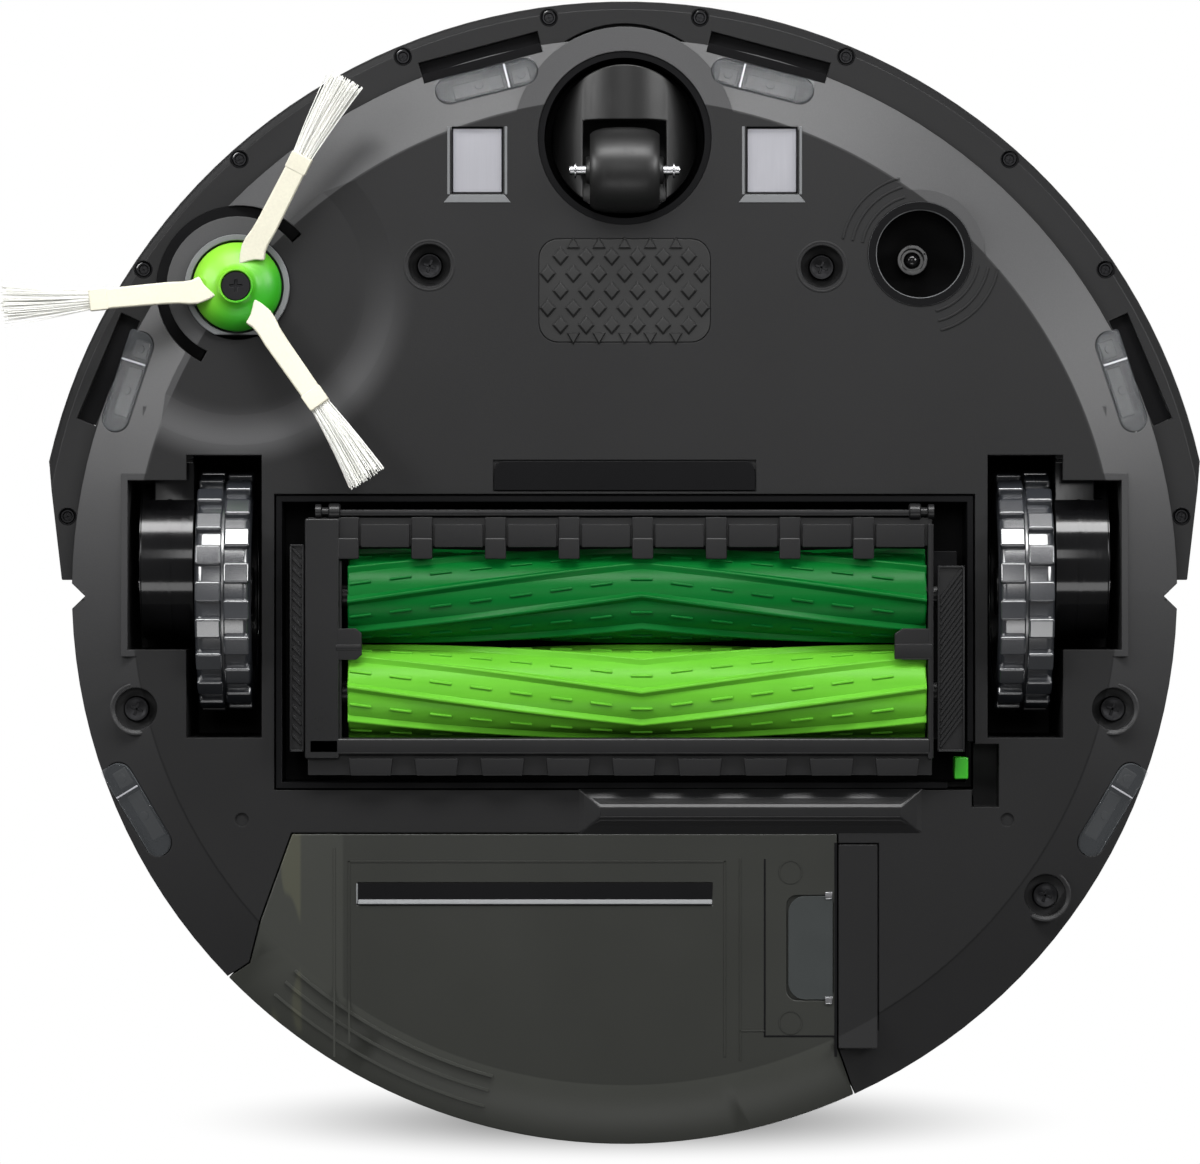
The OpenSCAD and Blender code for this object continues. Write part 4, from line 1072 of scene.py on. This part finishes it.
class ROBOT_OT_roller_guard(RobotOperator):
    """Hinged frame over the rollers: toothed front bar, rear grille, side brackets and grip strips"""

    bl_idname = "robot.roller_guard"
    bl_label = "Roller guard"

    tooth_x = -84.8
    tooth_pitch = 21.74
    tooth_width = 6.3
    teeth = 8
    pockets = 9
    pocket_pitch = 19.45
    bar_left, bar_right = -93.7, 90.9
    bracket_rear = 49.4

    def hatched(self, x0, x1, y0, y1, low, pitch, slope):
        """A bordered strip filled with slanted ribs."""
        strip = block(x0, x1, y0, y1, low + 1.0, low + 3.4, 0.2)
        border = 0.6
        for left, right, front, rear in (
            (x0, x0 + border, y0, y1), (x1 - border, x1, y0, y1),
            (x0, x1, y0, y0 + border), (x0, x1, y1 - border, y1),
        ):
            add(strip, block(left, right, front, rear, low, low + 1.4, 0.2))
        wide, deep = x1 - x0 - 1.4, abs(slope) * (x1 - x0 - 1.4)
        length = math.hypot(wide, deep)
        rib = block(-length / 2, length / 2, -0.45, 0.45, low + 0.4, low + 1.3, 0.15, 1)
        tilt = math.degrees(math.atan2(deep, wide)) * (1 if slope > 0 else -1)
        y = y0 + 1 + deep / 2
        while y < y1 - 1 - deep / 2:
            add(strip, rib, shift((x0 + x1) / 2, y) @ turned(tilt, "Z"))
            y += pitch
        return strip

    def front(self, low, top):
        """The front bar with its teeth and the panels between them."""
        bars = joined(
            block(-87, 84.6, -24.2, -22.4, low + 1.4, top, 0.45),
            block(self.bar_left, self.bar_right, -21.9, -13.6, low + 2.9, top, 0.3),
        )
        wide = self.tooth_width
        tooth = joined(
            block(0, wide, -22, -14.9, low + 1.5, top + 0.6, 0.35),
            block(0, wide, -15.9, -9.5, low, low + 1.9, 0.55, 3),
        )
        panel = block(wide + 0.5, self.tooth_pitch - 0.5, -19.9, -13.1, low + 0.7, low + 3.2, 0.35)
        for k in range(self.teeth):
            place = shift(self.tooth_x + k * self.tooth_pitch, 0)
            add(bars, tooth, place)
            add(bars, panel, place)
        return bars

    def rear(self, low, top):
        """The rear bar and the row of pockets behind it."""
        bars = joined(
            block(self.bar_left, self.bar_right, 43.2, 48.3, low, top, 0.9, 3),
            block(self.bar_left, self.bar_right, 48.0, 54.3, low + 3.1, top, 0.2),
        )
        panel = prism([(0.4, 49.3), (13.5, 49.3), (12.9, 54.4), (1.0, 54.4)], low + 1.2, low + 3.4, 0.3)
        add(bars, panel, *(shift(k * self.pocket_pitch - 82, 0) for k in range(self.pockets)))
        return bars

    def sides(self, low, top):
        """Side brackets, their roller stops and the hinge knuckles."""
        stop = [(0, 10.9), (5.6, 10.9), (7.3, 12.4), (7.3, 18.7), (5.6, 20.2), (0, 20.2)]
        left_stop = prism([(-84.9 + x, y) for x, y in stop], low, low + 1.6, 0.35)
        right_stop = prism([(89.9 - 1.4 * x, y) for x, y in stop], low, low + 1.6, 0.35)
        parts = joined(
            block(-94.5, -84.3, -21.6, self.bracket_rear, low, top, 0.6, 3),
            block(-84.6, -83.6, -9, 44, low + 1.4, top, 0.2),
            block(89.5, 91.2, -20, self.bracket_rear, low, top, 0.35),
            block(79.6, 90.9, 15.4, 20.0, low - 0.3, low + 0.6, 0.4),
            block(-85.3, -77.9, 15.6, 17.4, low - 0.3, low + 0.6, 0.35),
            left_stop, right_stop,
        )
        knuckle = lathe([
            (0, 0), (2.0, 0), (2.4, 0.4), (2.4, 3.2), (2.0, 3.6), (1.3, 3.6), (1.3, 5.4), (2.2, 5.8), (2.2, 7.4),
            (0, 7.4),
        ], 40, closed=False)
        moved(knuckle, UP_TO_SIDE)
        hinge_y, hinge_z = -23.6, top - 1.6
        add(parts, knuckle, shift(84, hinge_y, hinge_z),
            shift(-84, hinge_y, hinge_z) @ turned(180, "Z"))
        return parts

    def execute(self, context):
        lever_low, lever_high = span("release_lever")
        low, top = lever_low.z, span("roller_guard")[1].z - 0.8
        guard = joined(self.front(low, top), self.rear(low, top), self.sides(low, top))
        piece("roller_guard_frame", guard, "guard", "frame_black", "roller_guard")
        strip = self.hatched(-98.9, -94.8, -13.9, 47.3, low, 2.9, 1.1)
        piece("guard_grip_strip", strip, "guard", "frame_black")
        lever = self.hatched(lever_low.x, lever_high.x, lever_low.y, lever_high.y, low + 0.3, 1.9, -1.35)
        piece("release_lever_grip", lever, "lever", "frame_black", "release_lever")
        rounded_node("head_catch", 0.5)
        rounded_node("head_frame", 0.3)
        return {"FINISHED"}


class ROBOT_OT_grip_pad(RobotOperator):
    """Rubber grip pad with its field of raised diamonds"""

    bl_idname = "robot.grip_pad"
    bl_label = "Grip pad"

    diamond_pitch = 7.6
    row_pitch = 5.1

    def execute(self, context):
        low, high = span("grip_pad")
        centre, w, d = middle("grip_pad"), high.x - low.x, high.y - low.y
        pad = add(bmesh.new(), prism(slab_outline(w, d, 5.7), BELLY - 0.1, BELLY + 0.9, 0.3))
        diamond = bmesh.new()
        bmesh.ops.create_cone(diamond, cap_ends=True, segments=4, radius1=2.1, radius2=3.2, depth=0.9)
        bmesh.ops.scale(diamond, vec=(0.86, 1, 1), verts=diamond.verts)
        round_edges(diamond, 0.12, 1, 20)
        for row in range(-2, 3):
            count = 6 if row % 2 == 0 else 7
            for k in range(count):
                x, y = (k - (count - 1) / 2) * self.diamond_pitch, row * self.row_pitch
                add(pad, diamond, shift(x, y, BELLY - 0.4))
        half = bmesh.new()
        bmesh.ops.create_cone(half, cap_ends=True, segments=3, radius1=1.7, radius2=2.5, depth=0.8)
        for side in (-1, 1):
            for k in range(5):
                spot = shift((k - 2) * self.diamond_pitch, side * (d / 2 - 1.6), BELLY - 0.35)
                add(pad, half, spot @ turned(90 * (1 - side), "Z"))
        moved(pad, shift(centre.x, centre.y))
        piece("grip_pad_diamonds", pad, "chassis", "pad_rubber", "grip_pad")
        return {"FINISHED"}


class ROBOT_OT_contacts(RobotOperator):
    """Charging contacts: brushed plates in bevelled frames"""

    bl_idname = "robot.contacts"
    bl_label = "Charging contacts"

    contact_x = 43.7

    def execute(self, context):
        low, high = span("charge_contacts")
        x, y = self.contact_x, (low.y + high.y) / 2
        plate = block(x - 7.45, x + 7.45, y - 9.65, y + 9.65, low.z + 0.5, low.z + 2, 0.4, 3)
        plates = add(bmesh.new(), plate, Matrix(), mirrored())
        piece("contact_plates", plates, "chassis", "contact_metal", "charge_contacts")
        bevel = prism([(x - 10, y + 12.6), (x + 10, y + 12.6), (x + 8, y + 10.2), (x - 8, y + 10.2)],
                      BELLY - 0.25, BELLY + 0.4, 0.2)
        inner = block(x - 8.9, x - 8.1, y - 10, y + 10.2, BELLY - 0.2, BELLY + 0.4, 0.2)
        outer = block(x + 8.1, x + 8.9, y - 10, y + 10.2, BELLY - 0.2, BELLY + 0.4, 0.2)
        frames = add(bmesh.new(), joined(bevel, inner, outer), Matrix(), mirrored())
        piece("contact_frames", frames, "chassis", "grey_plastic")
        return {"FINISHED"}


class ROBOT_OT_windows(RobotOperator):
    """Clear cliff sensor windows with their chambers, and black sheets of painted shade in the sight recesses
    beside them
    """

    bl_idname = "robot.windows"
    bl_label = "Cliff sensor windows"

    places = {"front": (41, -151.7, 14), "side": (147.8, -62.4, 72), "rear": (144.6, 64.8, 121)}
    half_width, half_depth = 15.4, 4.5
    inner_round, outer_round = 4.6, 1.1

    def outline(self, inset=0.0):
        """Straight along the outer side, with large round corners along the inner side."""
        x, y = self.half_width - inset, self.half_depth - inset
        inner, outer = self.inner_round - inset, self.outer_round
        return (
            arc(inner, 0, 90, 8, (x - inner, y - inner)) + arc(inner, 90, 180, 8, (inner - x, y - inner))
            + arc(outer, 180, 270, 4, (outer - x, outer - y)) + arc(outer, 270, 360, 4, (x - outer, outer - y))
        )

    def execute(self, context):
        cover = prism(self.outline(), -0.5, 0.5, 0.3, 3)
        edge = rim(self.outline(0.15), 0.4, -0.62, -0.3)
        cross = block(-6.4, -5.9, -4.2, 4.2, -0.62, -0.3, 0.1)
        chamber = joined(
            block(-13, -7.5, -2.6, 2.6, 1.3, 2.2, 0.7, 3), block(-4.8, 10.5, -2.2, 2.8, 1.3, 2.2, 1, 3),
            disc(1.3, 0.9, 1.6, 0.3, (-10.4, 0)), disc(1.3, 0.9, 1.6, 0.3, (2.5, 0)),
        )
        layers = {
            "lens": ("clear_lens", cover),
            "edge": ("silver_plastic", joined(edge, cross)),
            "chamber": ("pad_rubber", chamber),
            "well": ("deep_black", prism(self.outline(-0.1), 2.2, 2.8, 0)),
        }
        for layer, (slot, shape) in layers.items():
            for group, (x, y, turn) in self.places.items():
                spot = shift(x, y, BELLY + ring_rise(math.hypot(x, y)))
                place = spot @ turned(turn, "Z") @ turned(-SLOPE, "X")
                bm = add(bmesh.new(), shape, place, mirrored() @ place)
                nodes = [f"{group}_cliff_lenses"] if layer == "lens" else []
                piece(f"{group}_window_{layer}", bm, "chassis", slot, *nodes)
        front = shift(46, -160.4) @ turned(15, "Z")
        side = shift(154.6, -66.5) @ turned(67, "Z")
        # painted shade: thin black sheets on the ceilings of the sight recesses and behind the bumper's openings
        ledge = block(-20.9, 15.5, 2.6, 5.3, BELLY + LEDGE - 0.3, BELLY + LEDGE, 0.05)
        piece("sight_shade_ledges", add(bmesh.new(), ledge, front, mirrored() @ front), "chassis", "deep_black")
        front_back = block(-20.9, 15.5, -1.1, 5.3, SIGHT_Z, SIGHT_Z + 0.5, 0.05)
        side_back = block(-16.9, 16.9, -2.1, 3.7, SIGHT_Z, SIGHT_Z + 0.5, 0.05)
        backs = add(bmesh.new(), front_back, front, mirrored() @ front)
        add(backs, side_back, side, mirrored() @ side)
        piece("sight_shade_backs", backs, "bumper", "deep_black")
        return {"FINISHED"}


class ROBOT_OT_screws(RobotOperator):
    """Cup rims and cross-head screws of the base and the bumper"""

    bl_idname = "robot.screws"
    bl_label = "Screws"

    cups = ((-57.9, -96.7), (58.5, -96.3), (-145, 34.9), (145, 34.9), (125, 90.3))
    angles = (7.5, 22.5, 41.7, 56.2)  # of the bumper's curved row, away from the front
    bumper_head = 2.2  # radius of the head in the frame
    last_screw_y = -22.4  # of the screw at the bumper's end

    def head(self, radius, z):
        """A pan head with a raised rim and a sunk cross."""
        dish = lathe([(0, z + 0.35), (radius * 0.55, z + 0.35), (radius * 0.7, z), (radius * 0.88, z),
                      (radius, z + 0.5), (radius, z + 1.4), (0, z + 1.4)], 40, closed=False)
        arm = block(-radius * 0.5, radius * 0.5, -radius * 0.1, radius * 0.1, z + 0.2, z + 0.5, 0.08, 1)
        return add(dish, arm, turned(20, "Z"), turned(110, "Z"))

    def execute(self, context):
        rims = bmesh.new()
        lip = lathe([
            (6.1, BELLY + 1.2), (6.3, BELLY + 0.3), (7.3, BELLY - 0.16), (7.8, BELLY), (7.8, BELLY + 0.6),
        ])
        heads = bmesh.new()
        head = self.head(3.9, span("base_screws")[0].z)
        for x, y in self.cups:
            add(rims, lip, shift(x, y, ring_rise(math.hypot(x, y))))
            add(heads, head, shift(x, y))
        piece("screw_cup_rims", rims, "chassis", "shell")
        piece("base_screw_heads", heads, "chassis", "screw_black", "base_screws")
        low, high = span("bumper_screws")
        small, seats = bmesh.new(), bmesh.new()
        head = self.head(2.15, low.z - 0.2)
        hole, z = self.bumper_head, low.z
        rim = hole + 0.7
        seat = lathe([(hole, z - 0.25), (hole + 0.35, z - 0.6), (rim, z - 0.4), (rim, z), (hole, z)], 40)
        radius = (-low.y - hole) / math.cos(math.radians(self.angles[0]))
        turns = [math.radians(angle) for angle in self.angles]
        spots = [(radius * math.sin(turn), -radius * math.cos(turn)) for turn in turns]
        for x, y in (*spots, (high.x - hole, self.last_screw_y)):
            place = shift(x, y)
            add(small, head, place, mirrored() @ place)
            add(seats, seat, place, mirrored() @ place)
        piece("bumper_screw_heads", small, "bumper", "screw_black", "bumper_screws")
        piece("bumper_screw_seats", seats, "bumper", "deep_black")
        return {"FINISHED"}


class ROBOT_OT_floor_sensor(RobotOperator):
    """Optical floor sensor: rings in its well, and the arcs beside it"""

    bl_idname = "robot.floor_sensor"
    bl_label = "Floor sensor"

    def execute(self, context):
        low, high = span("sensor_cup")
        centre, cup = middle("sensor_cup"), (high.x - low.x) / 2
        half = 0.35  # half the width of a ring and of an arc
        rings = bmesh.new()
        for radius in (cup - 0.3, cup - 1.2, cup - 2.1):
            z = BELLY - 0.3 + (cup - radius) * 0.3
            add(rings, lathe(rectangle(radius - half, radius + half, z, z + 1)))
        moved(rings, shift(centre.x, centre.y))
        piece("sensor_rings", rings, "chassis", "grey_plastic")
        arcs = bmesh.new()
        for radius in (17.5, 20.5, 23.4):
            bar = curved_bar(radius - half, radius + half, 11, 75, BELLY - 0.3, BELLY + 0.3, 0.12)
            add(arcs, bar, turned(180, "Z"), Matrix())
        moved(arcs, shift(centre.x, centre.y))
        piece("sensor_arcs", arcs, "chassis", "shell")
        return {"FINISHED"}


class ROBOT_OT_dust_bin(RobotOperator):
    """Smoked dust bin: softened box, curved ribs, slot lip, frame lines and the valve window"""

    bl_idname = "robot.dust_bin"
    bl_label = "Dust bin"

    # Each line is a box in plan: left, right, front, rear.
    frame_lines = (
        (-82, 30, 79.8, 80.4), (-82, -81.4, 79.8, 134), (29.4, 30, 79.8, 138),
        (-86.4, -85.8, 76, 138), (34, 34.5, 79, 139), (34, 41.5, 130, 130.5),
    )
    valve_frame = ((41.3, 41.8, 79.3, 132), (62.2, 63, 74.5, 138), (41.3, 62.4, 131.6, 132.1))
    rib_radii = (149.1, 153.6, 158.6)

    def valve(self):
        """Outline of the valve window, round on its left side."""
        right, round_x, corner = 61.7, 53.5, 5
        front, rear = 90.3, 121
        return (
            [(right, front), (right, rear)]
            + arc(corner, 90, 180, 8, (round_x, rear - corner))
            + arc(corner, 180, 270, 8, (round_x, front + corner))
        )

    def execute(self, context):
        rounded_node("bin_body", 0.4)
        rounded_node("bin_button", 0.6)
        trim = bmesh.new()
        for radius in self.rib_radii:
            z = BELLY + ring_rise(radius)
            add(trim, curved_bar(radius - 0.5, radius + 0.5, 105.2, 131, z - 0.5, z + 1, 0.2))
        for x0, x1, y0, y1 in self.frame_lines:
            add(trim, block(x0, x1, y0, y1, BELLY - 0.25, BELLY + 0.4, 0.12))
        for y in (83.2, 127.8):
            circle = lathe(rectangle(3.2, 3.5, BELLY - 0.2, BELLY + 0.3), 48)
            add(trim, circle, shift(49.2, y))
        piece("bin_trim", trim, "bin", "smoke")
        dark = block(-79.2, 26, 86.4, 91.6, BELLY - 0.12, BELLY + 0.5, 0.1)
        for x0, x1, y0, y1 in self.valve_frame:
            add(dark, block(x0, x1, y0, y1, BELLY - 0.2, BELLY + 0.4, 0.1))
        piece("bin_dark_lines", dark, "bin", "deep_black")
        lip = block(-79, 25.9, -0.75, 0.75, -0.4, 0.4, 0.15)
        bright = add(bmesh.new(), lip, shift(0, 92.1, BELLY - 0.1) @ turned(-26, "X"))
        add(bright, block(-79.6, -79.1, 86.6, 92.6, BELLY - 0.3, BELLY + 0.3, 0.1))
        add(bright, rim(self.valve(), 0.45, BELLY - 0.45, BELLY + 0.2))
        piece("bin_bright_lines", bright, "bin", "grey_plastic")
        pane = prism(self.valve(), BELLY - 0.3, BELLY + 0.8, 0.2)
        piece("bin_valve_pane", pane, "bin", "smoke_window", "bin_window")
        pin = block(59.4, 61.6, 89, 91.2, BELLY - 0.8, BELLY + 0.2, 0.3)
        pins = add(bmesh.new(), pin, Matrix(), shift(0, 31.1))
        piece("bin_valve_pins", pins, "bin", "steel")
        return {"FINISHED"}


class ROBOT_OT_casing(RobotOperator):
    """Main casing parts with softly rounded edges"""

    bl_idname = "robot.casing"
    bl_label = "Casing and top"

    def ridge(self):
        """The hip-roofed bar behind the rollers."""
        bar = block(-13.8, 88.4, 58.4, 72.2, BELLY - RIDGE - 0.55, BELLY + 0.3, 0)
        crest = [v for v in bar.verts if v.co.z < BELLY - RIDGE]
        about_middle = shift(-37.3, -65.3)
        bmesh.ops.scale(bar, vec=(0.87, 0.2, 1), verts=crest, space=about_middle)
        return round_edges(bar, 0.25, 3, 10)

    def execute(self, context):
        width = sizes().edge / MM
        piece("rear_ridge", self.ridge(), "chassis", "frame_black")
        for node in ("top_cover", "bumper_shell", "bumper_skirt", "bumper_window", "side_panel",
                     "label_plate", "top_plate", "trim_ring", "main_button",
                     "left_button", "right_button", "carry_handle", "homing_window", "sensor_lens"):
            rounded_node(node, width)
        return {"FINISHED"}


class ROBOT_PT_panel(bpy.types.Panel):
    """Lists the robot's settings and modelling steps"""

    bl_label = "Robot vacuum"
    bl_idname = "ROBOT_PT_panel"
    bl_space_type = "VIEW_3D"
    bl_region_type = "UI"
    bl_category = PANEL_TAB

    def draw(self, context):
        for group in (context.scene.robot_colours, context.scene.robot_sizes, context.scene.robot_stage):
            for name in group.__annotations__:
                self.layout.prop(group, name)
        for step in STEPS:
            self.layout.operator(step.bl_idname)


STEPS = (
    ROBOT_OT_finishes, ROBOT_OT_casing, ROBOT_OT_tyres, ROBOT_OT_gearboxes, ROBOT_OT_caster,
    ROBOT_OT_side_brush, ROBOT_OT_rollers, ROBOT_OT_roller_guard, ROBOT_OT_grip_pad, ROBOT_OT_contacts,
    ROBOT_OT_windows, ROBOT_OT_screws, ROBOT_OT_floor_sensor, ROBOT_OT_dust_bin, ROBOT_OT_stage,
)
SETTINGS = {"robot_colours": RobotColours, "robot_sizes": RobotSizes, "robot_stage": RobotStage}


def register():
    """Adds the settings, the steps and the panel."""
    for group in SETTINGS.values():
        bpy.utils.register_class(group)
    for name, group in SETTINGS.items():
        setattr(bpy.types.Scene, name, bpy.props.PointerProperty(type=group))
    for step in (*STEPS, ROBOT_PT_panel):
        bpy.utils.register_class(step)


def unregister():
    """Takes them all away again."""
    for step in reversed((*STEPS, ROBOT_PT_panel)):
        bpy.utils.unregister_class(step)
    for name, group in reversed(SETTINGS.items()):
        delattr(bpy.types.Scene, name)
        bpy.utils.unregister_class(group)


def main():
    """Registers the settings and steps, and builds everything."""
    register()
    for step in STEPS:
        family, name = step.bl_idname.split(".")
        getattr(getattr(bpy.ops, family), name)()


if __name__ == "__main__":
    main()
